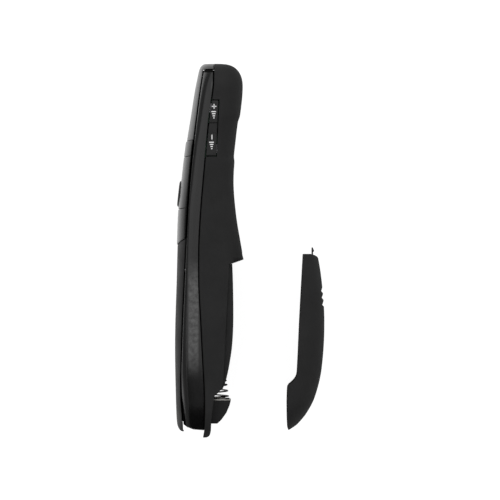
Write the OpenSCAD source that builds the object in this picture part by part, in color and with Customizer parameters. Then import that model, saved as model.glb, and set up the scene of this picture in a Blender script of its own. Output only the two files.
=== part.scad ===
// Handheld wireless presenter with a slide-off battery cover.
// The presenter and its cover lie on their sides on the plane z = 0.
// +Y points along the body to the laser end, +X from the key face to the
// back, +Z from the lower side to the side that carries the volume rocker.

/* [Body] */
// Length of the body from the laser end to the tip of the closed cover
body_length = 151.6; // [148:0.2:158]
// Width of the body across the keys
body_width = 38; // [38:0.5:42]
// Wall of the rear housing
wall = 1.8; // [1.4:0.1:2.2]
// Wall of the key face panels and the key caps
panel_wall = 1.5; // [1.2:0.1:1.8]
// Thickness of the deck that the key face stands on
deck = 1.0; // [0.8:0.1:1.2]
// Depth of the rounded key face
face_crown = 8; // [7:0.5:9]
// Depth of the rounded back
back_crown = 9; // [8:0.5:10]
// Squareness of the cross-section and of the ends
squareness = 2.5; // [2.2:0.1:2.8]
// Visible gap between two fixed shells
seam = 0.3; // [0.2:0.05:0.4]
// Depth of the finger rest on the back
rest_depth = 0.5; // [0.3:0.1:0.7]

/* [Keys] */
// Travel of a key
key_travel = 0.6; // [0.4:0.1:0.7]
// Height by which the keys stand proud of the panels
key_proud = 0.3; // [0.2:0.1:0.4]
// Gap around each key
key_gap = 0.15; // [0.1:0.05:0.2]
// Diameter of the round pad key
pad_d = 10.6; // [9:0.1:11]
// Height by which the pad stands above the forward key
pad_proud = 0.8; // [0.6:0.1:1]
// Diameter of a key stem
stem_d = 3; // [2.6:0.2:3.4]
// Height of a rubber dome
dome_h = 1.6; // [1.4:0.1:1.8]

/* [Volume rocker] */
// Length of the rocker
rocker_length = 22.2; // [21:0.2:23]
// Swing of the rocker each way in degrees
rocker_swing = 3; // [2:0.5:3]
// Diameter of the rocker's pin
rocker_pin_d = 1.2; // [1:0.1:1.4]
// Gap round the rocker
rocker_gap = 0.35; // [0.3:0.05:0.45]

/* [Battery bay and cover] */
// Diameter of one cell
cell_d = 10.5; // [10.3:0.1:10.6]
// Length of one cell
cell_length = 44.5; // [44.3:0.1:44.6]
// Spring length with a cell in place
spring_closed = 5; // [4.5:0.1:5.5]
// Free length of a battery spring
spring_free = 8; // [7:0.1:8.5]
// Wire diameter of a battery spring
spring_wire = 0.6; // [0.5:0.05:0.7]
// Wall of the battery cover
cover_wall = 1.4; // [1.2:0.1:1.6]
// Height of the lip that the cover closes over, measured through its wall
lip_wall = 1.0; // [0.8:0.1:1.2]
// Gap between the cover and what it closes over
cover_gap = 0.2; // [0.15:0.05:0.3]
// Distance of the removed cover behind the body
cover_off = 29.4; // [28:0.2:32]
// Distance of the removed cover towards the laser end
cover_raise = 4.2; // [3.6:0.2:5]

/* [Receiver] */
// Length of the receiver's grip
receiver_length = 22; // [20:0.5:24]
// Width of the receiver's grip
receiver_width = 17; // [16:0.5:18]
// Thickness of the receiver's grip
receiver_thick = 5.2; // [5:0.1:5.3]
// Gap between the receiver and its bay
receiver_gap = 0.3; // [0.2:0.05:0.3]

/* [Laser] */
// Diameter of the laser barrel
laser_d = 6; // [5.6:0.2:6.4]
// Length of the laser barrel
laser_length = 18; // [16:0.5:20]

/* [Hidden] */
$fn = 48;

black = [0.06, 0.06, 0.065];
gloss_black = [0.1, 0.1, 0.11];
metal = [0.75, 0.75, 0.77];
brass = [0.75, 0.6, 0.3];
board_green = [0.07, 0.3, 0.17];
far = 60;             // reach of the cutting prisms past the body
eps = 0.01;

// Outlines in the plane of the sides, as [y, x] stations.
front_line = [[-76.4, -14.6], [-72, -15.2], [-60, -15.75], [-36, -16.1], [-10, -15.4],
  [5, -15], [17, -14.5], [29, -13.2], [41, -11.8], [53, -9.9], [65, -8], [75.2, -5.9]];
rear_line = [[-76.4, 0.4], [-74.2, 3.6], [-69.4, 7.6], [-62.9, 10.9], [-51.6, 13.6],
  [-32.3, 14.7], [-14.6, 13.4], [0, 10.9], [14.6, 8.5], [29, 7.5], [46, 9], [60, 10.8],
  [66, 11.2], [75.2, 11.2]];
// The outlines stretch evenly with the body's length.
outline_ends = [front_line[0][0], front_line[len(front_line) - 1][0]];
ky = body_length / (outline_ends[1] - outline_ends[0]);
top_y = outline_ends[1] * ky;
bottom_y = outline_ends[0] * ky;
mid_z = body_width / 2;
// Seam between the key face and the glossy band
face_seam = [[-76, -12.4], [-69.8, -12.6], [-57.3, -13.4], [-36, -13], [-14.6, -12.1],
  [1.5, -11.4], [23.7, -10.1], [42.6, -8.3], [61.6, -6], [76, -3.8]];
// Seam between the glossy band and the rear housing
band_seam = [[-76, -4.8], [-57.3, -4.4], [-44, -5.1], [-27.9, -5.9], [-14.6, -6.6],
  [-6.5, -6.7], [2.7, -6.6], [15.6, -5.9], [33.4, -4.4], [51.9, -2.7], [60.8, -1.5],
  [66.8, -0.8], [76, -0.7]];
// Edge of the rear housing's side walls along the battery bay
bay_edge = [[-76, -2.1], [-70.2, -1.9], [-65, -1.1], [-61, -0.6], [-58.4, -0.2],
  [-56.7, 1.6], [-55, 2.9], [-53, 3.4], [-32, 4.4], [-8, 5.7], [-4, 5.9]];
// Edge of the cover below its shoulder
cover_low_edge = [[-76.4, 0.2], [-75, -0.3], [-66, -0.5], [-61, -0.4]];
// Edge of the lip inside the cover
lip_edge = [[-55.5, 3.1], [-53.1, 4.1], [-50.7, 4.8], [-45.8, 5.8], [-38.6, 6.85],
  [-28.9, 7.35], [-14.4, 7.25], [-4, 6.9]];

lip_root = 2;                     // height of the lip's root in the side walls
face_top_y = top_y - 2.6;         // the upper panel wraps the end above this
face_bottom_y = bottom_y + 3.9;
face_corner = 2.2;
// Lower edge of the band, as [x, distance from the tip]
band_bottom = [[-12.6, 7.1], [-11, 6], [-8.7, 5], [-5, 4.7]];
tab_right = -2.1;
tab_bottom_y = bottom_y + 1.4;
tab_corner = 2;
end_wall_y = bottom_y + 8;        // inner face of the lower end's wall

// Ends: how far each rounding reaches along the body and how deep it goes
top_reach = [3.5, 10, 13];        // front, back, sides
top_depth = [2.2, 8.8, 12];
bottom_reach = 14;
bottom_depth = 11;

// Seams between the keys, from the laser end down
pad_y = 22.9 * ky;
pad_hole_gap = 0.3;
pad_hole_r = pad_d / 2 + pad_hole_gap;
key_y = [44.5 * ky, 38.3 * ky, pad_y - pad_hole_r - 0.3, 2.5 * ky];
last_seam_sag = 2.8;
pad_round = 0.8;
pad_thick = 3.2;
side_groove = key_travel + 0.15;

// Volume rocker
rocker_y = 49.2 * ky;
rocker_back = [[38, 0.45], [60.6, 1.55]];
rocker_depth = 3.9;
pin_z = body_width - 3;
pin_x = [-3.9, 2.2];
ear = 1;
ear_width = 4;
running_gap = 0.05;
switch_gap = 0.05;
volume_board_z = body_width - 8.8;
volume_board_t = 0.8;
switch_side = 3.5;
volume_switch_y = 8.2;            // distance of each switch from the rocker's pin

// Power slider on the lower side
power_at = [-2.8, 20 * ky];
power_travel = 4;
power_cap = [2.6, 5.4];
power_recess = 0.6;
power_play = 0.3;
power_flange = [4.4, power_cap[1] + 2 * power_travel + 3, 0.8];
power_lever = 1;
switch_body = [4, 10, 3];
switch_leg = [0.6, 0.8];

// Finger rest on the back
rest_y = [35.4 * ky, 54.6 * ky];
rest_shoulder = 3;

// Battery bay
cell_x = 1.7;
cell_pitch = cell_d + 0.7;
bay_bottom_y = bottom_y + 16.3;
bay_top_y = bay_bottom_y + spring_closed + cell_length + 0.4;
tray_floor_x = cell_x - cell_d / 2 - 0.3;
tray_wall = 1.2;
tray_half = cell_pitch / 2 + cell_d / 2 + 0.4;
tray_top_y = bay_top_y + tray_wall;
block_bottom_y = bay_bottom_y - 9.3;
tray_flange = 1.2;
tray_reach = mid_z - cover_wall - cover_gap - lip_wall - 0.3;
spring_base_r = 3.9;
spring_tip_r = 2.6;
spring_turns = 4.5;
plate = 0.4;
plate_half = 4.6;
button_d = 5;
button_h = 0.6;
ridge_height = 1.6;
block_face = [[6.4, 0], [5.9, -2], [4.6, -5], [2.6, -7.8], [1, block_bottom_y - bay_bottom_y]];
// Half outline of the tray's floor as [y, z] points, from the laser end down
tray_floor = [[tray_top_y, tray_reach], [bay_bottom_y - 2.9, tray_reach],
  [end_wall_y + 0.2, tray_reach - 2.6]];
// Free edge of the tray's side walls as [x, y] points, from the laser end down
tray_side_x = 4.4;
tray_side = [[tray_side_x, tray_top_y], [tray_side_x, bay_bottom_y + 18.1],
  [tray_side_x - 1.2, bay_bottom_y + 10.1], [0, bay_bottom_y + 4.1], [-0.9, bay_bottom_y]];
// Step at the top of the battery bay: its inner corner and its outer tip
step_in = [6.45, tray_top_y + 3.7];
step_out = [11.6, step_in[1] + 2.1];

// Cover
cover_top_y = step_in[1] - 0.15;
cover_top_flat_x = 9.3;
cover_corner = [[1.5, 0.5], [2.4, 1.1], [2.9, 1.9]];
latch_x = 9.5;
latch_width = 8;
latch_thick = 0.6;
latch_rise = 2.6;
barb = 0.5;
latch_root = 3.8;
ridge_y = [-21.4 * ky, -24.1 * ky, -26.9 * ky];
ridge_depth = 0.6;
ridge_pitch = 2.75;
ridge_half = 9;

// Main board, tilted to lie along the deck
board_slope = atan2(3.1, 41.1);
board_x = -9.75;
board_y = [-12 * ky, 52 * ky];
board_thick = 1;
board_half = mid_z - 4.5;
dome_r = 3;
dome_top_r = 1.4;
dome_skin = 0.5;
mat_half = 6;
dome_hole = 0.4;
light_y = 49.5 * ky;
light_d = 2;
light_hole = 0.1;
led_h = 0.8;

// Receiver
bay_x = -8.72;
receiver_end_y = bottom_y + 5.4;
plug_length = 12;
plug_size = [4.5, 12];
plug_sheet = 0.3;
plug_window_y = 7;
plug_window_z = 2.9;
receiver_round = 1.6;
bay_wall = 0.6;
bay_top = 0.8;
bay_shoulder = 0.6;
bay_mouth_y = end_wall_y + 0.2;

// Laser
laser_x = 3.6;
window_d = 5;
window_thick = 1.2;
laser_end_y = top_y - 5.2;
laser_back_y = laser_end_y - laser_length;
lens_d = 4.4;
cradle_y = [60 * ky, 65 * ky];
cradle_half = 5;

// Screws
screw_d = 1.8;
screw_head_d = 3.2;
screw_head_h = 1.3;
boss_d = 4.4;
screw_play = 0.1;
housing_screw_length = 5;
housing_screw_y = [bay_bottom_y + 5.1, tray_top_y - 7];
housing_screw_z = tray_reach - 1.9;
board_screw_y = [board_y[0] + 4, board_y[1] - 6];
board_screw_z = board_half - 3;
board_screw_d = 1.4;
board_screw_length = 2.8;
board_screw_head = [2.6, 0.6];

// ---------------------------------------------------------------- helpers

// Index of the stretch of a station list that holds y
function stretch_at(y, s, i = 0) =
  (i >= len(s) - 2 || y < s[i + 1][0]) ? i : stretch_at(y, s, i + 1);

// Slope of a station list at station i
function slope_at(s, i) =
  let (a = max(0, i - 1), b = min(len(s) - 1, i + 1))
  (s[b][1] - s[a][1]) / (s[b][0] - s[a][0]);

// Smooth value of a station list at y, held past its ends
function smooth(y, s) =
  let (i = stretch_at(y, s), h = s[i + 1][0] - s[i][0],
       t = min(1, max(0, (y - s[i][0]) / h)))
  s[i][1] * (1 + 2 * t) * pow(1 - t, 2) + slope_at(s, i) * h * t * pow(1 - t, 2)
  + s[i + 1][1] * t * t * (3 - 2 * t) - slope_at(s, i + 1) * h * t * t * (1 - t);

// X of an outline at height y of the body
function x_of(y, s) = smooth(y / ky, s);

// Superellipse quarter: 0 at the start of an end rounding, 1 at its tip
function drop(t) =
  t <= 0 ? 0 : 1 - pow(max(0, 1 - pow(min(1, t), squareness)), 1 / squareness);
function top_drop(y, inset, k) =
  top_depth[k] * drop((y - (top_y - inset - top_reach[k])) / top_reach[k]);
function bottom_drop(y, inset) =
  bottom_depth * drop((bottom_y + inset + bottom_reach - y) / bottom_reach);

// Shallow finger rest: a flat-bottomed dip with soft shoulders
function ramp(t) = t <= 0 ? 0 : t >= 1 ? 1 : t * t * (3 - 2 * t);
function rest_dip(y) =
  rest_depth * ramp((y - rest_y[0]) / rest_shoulder) * ramp((rest_y[1] - y) / rest_shoulder);

function front_x(y, inset) = x_of(y, front_line) + inset + top_drop(y, inset, 0);
function rear_x(y, inset) = x_of(y, rear_line) - inset - top_drop(y, inset, 1) - rest_dip(y);
function half_w(y, inset) = mid_z - inset - max(top_drop(y, inset, 2), bottom_drop(y, inset));

function bow(v) = sign(v) * pow(abs(v), 2 / squareness);

// Cross-section of the body at y, set in from the outer skin
function ring(y, inset, steps) =
  let (xf = front_x(y, inset), xr = max(rear_x(y, inset), xf + 0.6), w = half_w(y, inset),
       most = (xr - xf) * 0.49, df = min(face_crown - inset, most), dr = min(back_crown - inset, most))
  concat([for (k = [0:steps]) let (a = -90 + 180 * k / steps)
           [xr - dr + dr * bow(cos(a)), y, mid_z + w * bow(sin(a))]],
         [for (k = [0:steps]) let (a = 90 + 180 * k / steps)
           [xf + df + df * bow(cos(a)), y, mid_z + w * bow(sin(a))]]);

// The body's form from one end to the other, set in by a wall: rings joined by triangles
module form(inset = 0, stations = 40, steps = 20) {
  rings(inset, stations, steps, bottom_y + inset + 0.05, top_y - inset - 0.02);
}

// A stretch of the form, with its rings closest together at both ends
module rings(inset, stations, steps, y0, y1) {
  function station(i) = (y0 + y1) / 2 + (y1 - y0) / 2 * sin(-90 + 180 * i / stations);
  n = 2 * (steps + 1);
  polyhedron([for (i = [0:stations]) each ring(station(i), inset, steps)], concat(
    [[for (k = [n - 1:-1:0]) k]],
    [for (i = [0:stations - 1], k = [0:n - 1], half = [0, 1]) let (a = i * n, m = (k + 1) % n)
      half == 0 ? [a + k, a + m, a + n + m] : [a + k, a + n + m, a + n + k]],
    [[for (k = [0:n - 1]) stations * n + k]]));
}

module core(inset) { form(inset, 24, 12); }

// Points along an outline from y0 to y1, moved by dx
function edge(s, y0, y1, dx = 0, n = 24) =
  [for (i = [0:n]) let (y = y0 + (y1 - y0) * i / n) [x_of(y, s) + dx, y]];

// Prism through the whole width with an outline seen from the side
module prism(points) {
  translate([0, 0, -far]) linear_extrude(2 * far + body_width) polygon(points);
}

// Box across the width, centred on the middle plane
module slab(x, y, half) {
  translate([x[0], y[0], mid_z - half]) cube([x[1] - x[0], y[1] - y[0], 2 * half]);
}

// Bar through the key face, between two heights
module key_bar(y0, y1) {
  translate([-far, y0, -far]) cube([far, y1 - y0, 2 * far + body_width]);
}

// Cylinder along +X and along +Y
module rod_x(x0, x1, y, z, d) {
  translate([x0, y, z]) rotate([0, 90, 0]) cylinder(d = d, h = x1 - x0);
}
module rod_y(y0, y1, x, z, d) {
  translate([x, y0, z]) rotate([-90, 0, 0]) cylinder(d = d, h = y1 - y0);
}

// ---------------------------------------------------------------- shells

// Side view of everything in front of the face seam
module face_zone(gap) {
  prism(concat([[-far, face_bottom_y + face_corner]],
    [for (a = [0:15:90]) [
      x_of(face_bottom_y, front_line) + face_corner * (1 - cos(a)) - 0.2 * (1 - sin(a)),
      face_bottom_y + face_corner * (1 - sin(a))]],
    edge(face_seam, face_bottom_y, face_top_y - gap, -gap),
    [[x_of(face_top_y, face_seam), face_top_y + gap],
     [x_of(face_top_y, band_seam) - gap, face_top_y + gap],
     [x_of(face_top_y, band_seam) - gap, far * 2], [-far, far * 2]]));
}

module rear_zone() {
  prism(concat(
    [for (a = [0:22.5:90])
      [tab_right - tab_corner * (1 - sin(a)), tab_bottom_y + tab_corner * (1 - cos(a))]],
    edge(bay_edge, tab_bottom_y + tab_corner, step_in[1], 0, 48),
    [step_in, step_out, [far, step_out[1]], [far, 2 * far]],
    edge(band_seam, top_y + 5, tab_bottom_y, seam)));
}

module rear_cavity() {
  intersection() {
    core(wall);
    prism([[-far, step_in[1] + wall], [step_in[0], step_in[1] + wall],
      [step_out[0], step_out[1] + wall], [far, step_out[1] + wall], [far, 2 * far], [-far, 2 * far]]);
  }
  intersection() {
    core(cover_wall + cover_gap + lip_wall);
    prism([[-far, block_bottom_y - 0.3], [far, block_bottom_y - 0.3], [far, step_out[1]], step_out,
      step_in, [tray_floor_x - 0.4, step_in[1]], [tray_floor_x - 0.4, step_in[1] + 2 * wall],
      [-far, step_in[1] + 2 * wall]]);
  }
}

module rocker_slot() {
  y0 = rocker_y - rocker_length / 2 - rocker_gap;
  y1 = rocker_y + rocker_length / 2 + rocker_gap;
  translate([0, 0, mid_z]) linear_extrude(far) polygon(concat(edge(band_seam, y0, y1, -1, 8),
    [[smooth(y1 / ky, rocker_back) + rocker_gap, y1],
     [smooth(y0 / ky, rocker_back) + rocker_gap, y0]]));
}

// Window in the lower side for the power slider
module power_window() {
  opening = [power_cap[0] + 2 * power_play, power_cap[1] + power_travel + 2 * power_play];
  translate([power_at[0] - opening[0] / 2, power_at[1] - opening[1] / 2, -1])
    cube([opening[0], opening[1], wall + 2]);
}

// Slot in the step for the cover's latch
module latch_slot() {
  slab([latch_x - 0.4, latch_x + latch_thick + barb + 0.3],
    [step_in[1] - 1, step_out[1] + wall + 1], latch_width / 2 + 0.4);
}

// Lip inside the edge of the battery bay, which the cover closes over
module bay_lip() {
  low = lip_edge[0][0] * ky;
  high = step_in[1] + 0.5;
  intersection() {
    form(cover_wall + cover_gap, 24, 12);
    prism(concat(edge(lip_edge, low, high), [[x_of(high, bay_edge) - lip_root, high]],
      edge(bay_edge, high, low, -lip_root)));
  }
}

module rear_housing() color(black) difference() {
  union() {
    intersection() { form(); rear_zone(); }
    bay_lip();
  }
  rear_cavity();
  rocker_slot();
  power_window();
  latch_slot();
  rod_y(top_y - 3 * wall, top_y + 1, laser_x, mid_z, window_d + 0.4);
}

// Bosses behind the deck for the housing screws and the board screws
module deck_posts() {
  for (y = housing_screw_y, side = [-1, 1])
    rod_x(x_of(y, face_seam) + deck / 2, tray_floor_x - tray_flange - 0.15, y,
      mid_z + side * housing_screw_z, boss_d, $fn = 24);
  for (y = board_screw_y, side = [-1, 1])
    rod_x(x_of(y, face_seam) + deck / 2, board_face(y) - 0.15, y,
      mid_z + side * board_screw_z, boss_d - 1, $fn = 24);
}

module post_holes() {
  for (y = housing_screw_y, side = [-1, 1])
    rod_x(x_of(y, face_seam) + deck, 0, y, mid_z + side * housing_screw_z,
      screw_d + 2 * screw_play, $fn = 24);
  for (y = board_screw_y, side = [-1, 1])
    rod_x(x_of(y, face_seam) - 1, 0, y, mid_z + side * board_screw_z,
      board_screw_d + 4 * screw_play, $fn = 24);
}

module front_housing() color(gloss_black) difference() {
  union() {
    difference() {
      intersection() {
        form();
        prism(concat([for (p = band_bottom) [p[0], bottom_y + p[1]]],
          edge(band_seam, bottom_y + band_bottom[3][1] + 0.7, face_top_y),
          edge(face_seam, face_top_y, bottom_y + band_bottom[0][1])));
      }
      intersection() {
        core(wall);
        prism(concat(edge(face_seam, end_wall_y, face_top_y - deck, deck),
          [[far, face_top_y - deck], [far, end_wall_y]]));
      }
    }
    deck_posts();
  }
  post_holes();
  // ways through the deck for the keys' stems and domes and for the light pipe
  for (y = key_centres()) rod_x(-far, 0, y, mid_z, 2 * (dome_r + dome_hole), $fn = 40);
  rod_x(-far, 0, light_y, mid_z, light_d + 4 * light_hole, $fn = 24);
  bay_outline(0.1);
}

module upper_panel() color(gloss_black) difference() {
  intersection() { form(); face_zone(seam); }
  core(panel_wall);
  key_bar(-2 * far, key_y[0] + key_gap);
  rod_x(-far, far, light_y, mid_z, light_d + 2 * light_hole, $fn = 24);
}

module lower_panel() color(black) difference() {
  intersection() { form(); face_zone(seam); }
  intersection() {
    core(panel_wall);
    key_bar(face_bottom_y + 2 * panel_wall, far);
  }
  bowed_above(-key_gap);
  key_bar(key_y[3] + 4, 2 * far);
}

// Everything above the bowed last seam of the keys
module bowed_above(shift) {
  bow_r = (pow(mid_z, 2) + pow(last_seam_sag, 2)) / (2 * last_seam_sag);
  rod_x(-far, 0, key_y[3] + shift + bow_r, mid_z, 2 * bow_r, $fn = 160);
}

function key_centres() =
  [(key_y[0] + key_y[1]) / 2, (pad_y + pad_d / 2 + key_y[1]) / 2, pad_y, (key_y[2] + key_y[3]) / 2];

// Skin of the key face over a stretch, standing proud, with room at the side seam to move
module key_skin(y0, y1) {
  n = ceil((y1 - y0) / 4) + 1;
  difference() {
    rings(-key_proud, n, 20, y0, y1);
    rings(panel_wall - key_proud, n, 20, y0 - 1, y1 + 1);
    prism(concat(edge(face_seam, y0 - 2, y1 + 2, -side_groove, 12), [[far, y1 + 2], [far, y0 - 2]]));
  }
}

// Front face of the board at y
function board_face(y) = board_x + y * tan(board_slope);

// End of a key's stem, just clear of its dome
function stem_end(y) = board_face(y) - dome_h - 0.25;

module key_stem(y) {
  rod_x(front_x(y, panel_wall - key_proud - 0.4), stem_end(y), y, mid_z, stem_d);
}

module laser_key() color(gloss_black) union() {
  key_skin(key_y[1] + key_gap, key_y[0] - key_gap);
  key_stem(key_centres()[0]);
}

module forward_key() color(gloss_black) union() {
  difference() {
    key_skin(key_y[2] + key_gap, key_y[1] - key_gap);
    rod_x(-far, 0, pad_y, mid_z, 2 * pad_hole_r);
  }
  key_stem(key_centres()[1]);
}

module back_key() color(gloss_black) union() {
  intersection() { key_skin(key_y[3] - 1, key_y[2] - key_gap); bowed_above(key_gap); }
  key_stem(key_centres()[3]);
}

module pad_key() color(black) {
  top_x = front_x(pad_y, 0) - key_proud - pad_proud;
  stem = stem_end(pad_y) - top_x;
  translate([top_x, pad_y, mid_z]) rotate([0, 90, 0]) rotate_extrude() polygon(concat(
    [[0, 0]], [for (a = [0:15:90]) [pad_d / 2 - pad_round * (1 - sin(a)), 0.15 + pad_round * (1 - cos(a))]],
    [[pad_d / 2, pad_thick], [stem_d / 2, pad_thick], [stem_d / 2, stem], [0, stem]]));
}

// ---------------------------------------------------------------- keys' rubber

// Hollow rubber dome on the board's face
module dome(y) {
  on_board() translate([-0.02, y / cos(board_slope), mid_z]) rotate([0, -90, 0]) rotate_extrude()
    polygon([[0, dome_h], [dome_top_r, dome_h], [dome_top_r + 0.3, dome_h - 0.3],
      [dome_top_r + 0.4, dome_h - dome_skin], [dome_r, dome_skin], [dome_r, 0], [dome_r - dome_skin, 0],
      [dome_top_r, dome_h - dome_skin], [0, dome_h - dome_skin]]);
}

module laser_dome() color([0.75, 0.75, 0.72]) dome(key_centres()[0]);
module forward_dome() color([0.75, 0.75, 0.72]) dome(key_centres()[1]);
module pad_dome() color([0.75, 0.75, 0.72]) dome(key_centres()[2]);
module back_dome() color([0.75, 0.75, 0.72]) dome(key_centres()[3]);

// Thin silicone sheet on the board, with a hole round each dome
module key_mat() color([0.7, 0.7, 0.68]) on_board() difference() {
  translate([-0.45, key_centres()[3] - mat_half, mid_z - mat_half])
    cube([0.35, key_centres()[0] - key_centres()[3] + 2 * mat_half - 2, 2 * mat_half]);
  for (y = key_centres()) rod_x(-1, 1, y / cos(board_slope), mid_z, 2 * dome_r + 0.1);
}

// Frame of the board: x = 0 is its front face, y runs along it
module on_board() { translate([board_x, 0, 0]) rotate([0, 0, -board_slope]) children(); }

// ---------------------------------------------------------------- volume rocker

module rocker_outline(shrink) {
  y0 = rocker_y - rocker_length / 2 + shrink;
  y1 = rocker_y + rocker_length / 2 - shrink;
  polygon(concat(edge(band_seam, y0, y1, seam + shrink, 9),
    [[smooth(y1 / ky, rocker_back) - shrink, y1], [smooth(y0 / ky, rocker_back) - shrink, y0]]));
}

module volume_rocker() color(black) difference() {
  union() {
    translate([0, 0, body_width - rocker_depth]) linear_extrude(rocker_depth - 0.2) rocker_outline(0);
    translate([0, 0, body_width - 0.2 - eps]) linear_extrude(0.2) rocker_outline(0.2);
  }
  rod_x(-far, far, rocker_y, pin_z, rocker_pin_d + 2 * running_gap);
}

module rocker_pin() color(metal) rod_x(pin_x[0], pin_x[1], rocker_y, pin_z, rocker_pin_d);

// U-shaped bracket that carries the pin and stands on the volume board
module rocker_bracket() color(black) difference() {
  foot_z = volume_board_z + volume_board_t + 0.05;
  span = pin_x[1] - pin_x[0];
  translate([pin_x[0], rocker_y - ear_width / 2, foot_z]) {
    for (x = [0, span - ear]) translate([x, 0, 0]) cube([ear, ear_width, pin_z + 0.4 - foot_z]);
    cube([span, ear_width, 1]);
  }
  rod_x(-far, far, rocker_y, pin_z, rocker_pin_d);
}

module volume_board() color(board_green)
  translate([pin_x[0] - 0.5, rocker_y - rocker_length / 2 - 1, volume_board_z])
    cube([pin_x[1] - pin_x[0] + 1, rocker_length + 2, volume_board_t]);

// Two push switches, each with its plunger just clear of the level rocker's end
module volume_switches() color(metal) {
  foot_z = volume_board_z + volume_board_t + 0.02;
  tip_z = body_width - rocker_depth - rocker_length / 2 * sin(rocker_swing) - switch_gap;
  for (side = [-1, 1]) translate([(pin_x[0] + pin_x[1]) / 2, rocker_y + side * volume_switch_y, foot_z]) {
    translate([-switch_side / 2, -switch_side / 2, 0]) cube([switch_side, switch_side, 1.8]);
    cylinder(d = 2, h = tip_z - foot_z);
  }
}

// ---------------------------------------------------------------- power switch

flange_z = wall + 0.2;
lever_z = flange_z + power_flange[2];
grip_pitch = 1.4;

// Thumb cap in the window, a flange behind the wall and a lever into the switch
module power_slider() color(black) translate([power_at[0], power_at[1] - power_travel / 2, 0]) {
  difference() {
    translate([-power_cap[0] / 2, -power_cap[1] / 2, power_recess])
      cube([power_cap[0], power_cap[1], flange_z + eps - power_recess]);
    for (k = [-1:1]) translate([-power_cap[0], k * grip_pitch - 0.25, power_recess - 0.1])
      cube([2 * power_cap[0], 0.5, 0.4]);
  }
  translate([-power_flange[0] / 2, -power_flange[1] / 2, flange_z]) cube(power_flange);
  translate([-power_lever / 2, -power_lever / 2, lever_z - eps]) cube([power_lever, power_lever, 1]);
}

// Slide switch beside the board, held by three legs
module power_switch() color(metal) {
  slot = [power_lever + 0.4, power_lever + power_travel + 0.4];
  difference() {
    translate([power_at[0] - switch_body[0] / 2, power_at[1] - switch_body[1] / 2, lever_z + 0.15])
      cube(switch_body);
    translate([power_at[0] - slot[0] / 2, power_at[1] - slot[1] / 2, 0])
      cube([slot[0], slot[1], lever_z + 1.4]);
  }
  for (k = [-1:1]) on_board()
    translate([board_thick + 0.02, (power_at[1] + k * 3.5) / cos(board_slope), mid_z - board_half + 0.4])
      cube([power_at[0] - board_face(power_at[1]) - board_thick, switch_leg[0], switch_leg[1]]);
}

// ---------------------------------------------------------------- battery cover

// The removed cover lies behind the body and a little towards the laser end
module removed() { translate([cover_off, cover_raise, 0]) children(); }

module cover_zone() {
  shoulder = bay_bottom_y + 0.1;
  prism(concat(edge(cover_low_edge, bottom_y, shoulder - 1),
    edge(bay_edge, shoulder, cover_top_y, cover_gap),
    [[cover_top_flat_x, cover_top_y], for (p = cover_corner) [cover_top_flat_x + p[0], cover_top_y - p[1]],
     [far, cover_top_y - cover_corner[2][1]], [far, -2 * far], [0.2, -2 * far]]));
}

// Grooves between the thumb ridges: each is steep below and slopes up to the next ridge
module thumb_grooves() {
  for (y = ridge_y) translate([0, y, mid_z]) {
    x = rear_x(y, 0);
    linear_extrude(ridge_half * 2, center = true)
      polygon([[x + 1, 0.2], [x + 0.1, 0.2], [x - ridge_depth, ridge_pitch * 0.35],
        [x + 0.1, ridge_pitch * 0.9], [x + 1, ridge_pitch * 0.9]]);
  }
}

module battery_cover() color(black) removed() difference() {
  intersection() { form(); cover_zone(); }
  core(cover_wall);
  thumb_grooves();
}

module cover_latch() color(black) removed() {
  top = cover_top_y + latch_rise;
  x1 = latch_x + latch_thick;
  translate([0, 0, mid_z]) linear_extrude(latch_width, center = true) polygon([
    [latch_x, cover_top_y - latch_root], [latch_x, top], [latch_x + 0.4, top + 0.1],
    [x1 + barb, top - 1.5], [x1, top - 1.8], [x1, cover_top_y - 0.9],
    [rear_x(cover_top_y - latch_root, cover_wall + 0.2), cover_top_y - latch_root]]);
}

// ---------------------------------------------------------------- battery bay

module battery_tray() color(black) difference() {
  union() {
    // floor with side flanges, its corners following the housing's end
    translate([tray_floor_x - tray_flange, 0, mid_z]) rotate([90, 0, 90]) linear_extrude(tray_flange)
      polygon([for (p = tray_floor) [p[0], -p[1]], for (i = [len(tray_floor) - 1:-1:0]) tray_floor[i]]);
    for (side = [-1, 1]) translate([0, 0, mid_z + side * (tray_half + tray_wall / 2)])
      linear_extrude(tray_wall, center = true) polygon([[tray_floor_x - eps, bay_bottom_y],
        [tray_floor_x - eps, tray_top_y], each tray_side]);
    // ridge between the cells
    slab([tray_floor_x - eps, tray_floor_x + ridge_height],
      [bay_bottom_y + plate + 0.1, bay_top_y - plate - 0.1], 0.5);
    // wall behind the upper contacts
    slab([tray_floor_x - eps, 6.2], [bay_top_y, tray_top_y], tray_half + tray_wall);
    // block behind the lower contacts
    translate([0, 0, mid_z]) linear_extrude(2 * (tray_half + tray_wall), center = true)
      polygon([[tray_floor_x - eps, block_bottom_y], [tray_floor_x - eps, bay_bottom_y],
        for (p = block_face) [p[0], bay_bottom_y + p[1]]]);
  }
  for (y = housing_screw_y, side = [-1, 1])
    rod_x(-far, far, y, mid_z + side * housing_screw_z, screw_d + 2 * screw_play);
}

module contact_plate(y, z, half) {
  translate([cell_x - plate_half, y, z - half]) cube([2 * plate_half, plate, 2 * half]);
}

// Sheet at the lower end that joins the two cells, with a spring seat and a raised button
module bridge_contact() color(metal) {
  contact_plate(bay_bottom_y + 0.02, mid_z, cell_pitch / 2 + plate_half);
  rod_y(bay_bottom_y + plate, bay_bottom_y + plate + button_h, cell_x, mid_z - cell_pitch / 2, button_d);
}

module top_contacts() color(metal) for (side = [-1, 1]) {
  contact_plate(bay_top_y - plate - 0.02, mid_z + side * cell_pitch / 2, plate_half);
  if (side > 0)
    rod_y(bay_top_y - plate - button_h, bay_top_y - plate, cell_x, mid_z + cell_pitch / 2, button_d);
}

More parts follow.
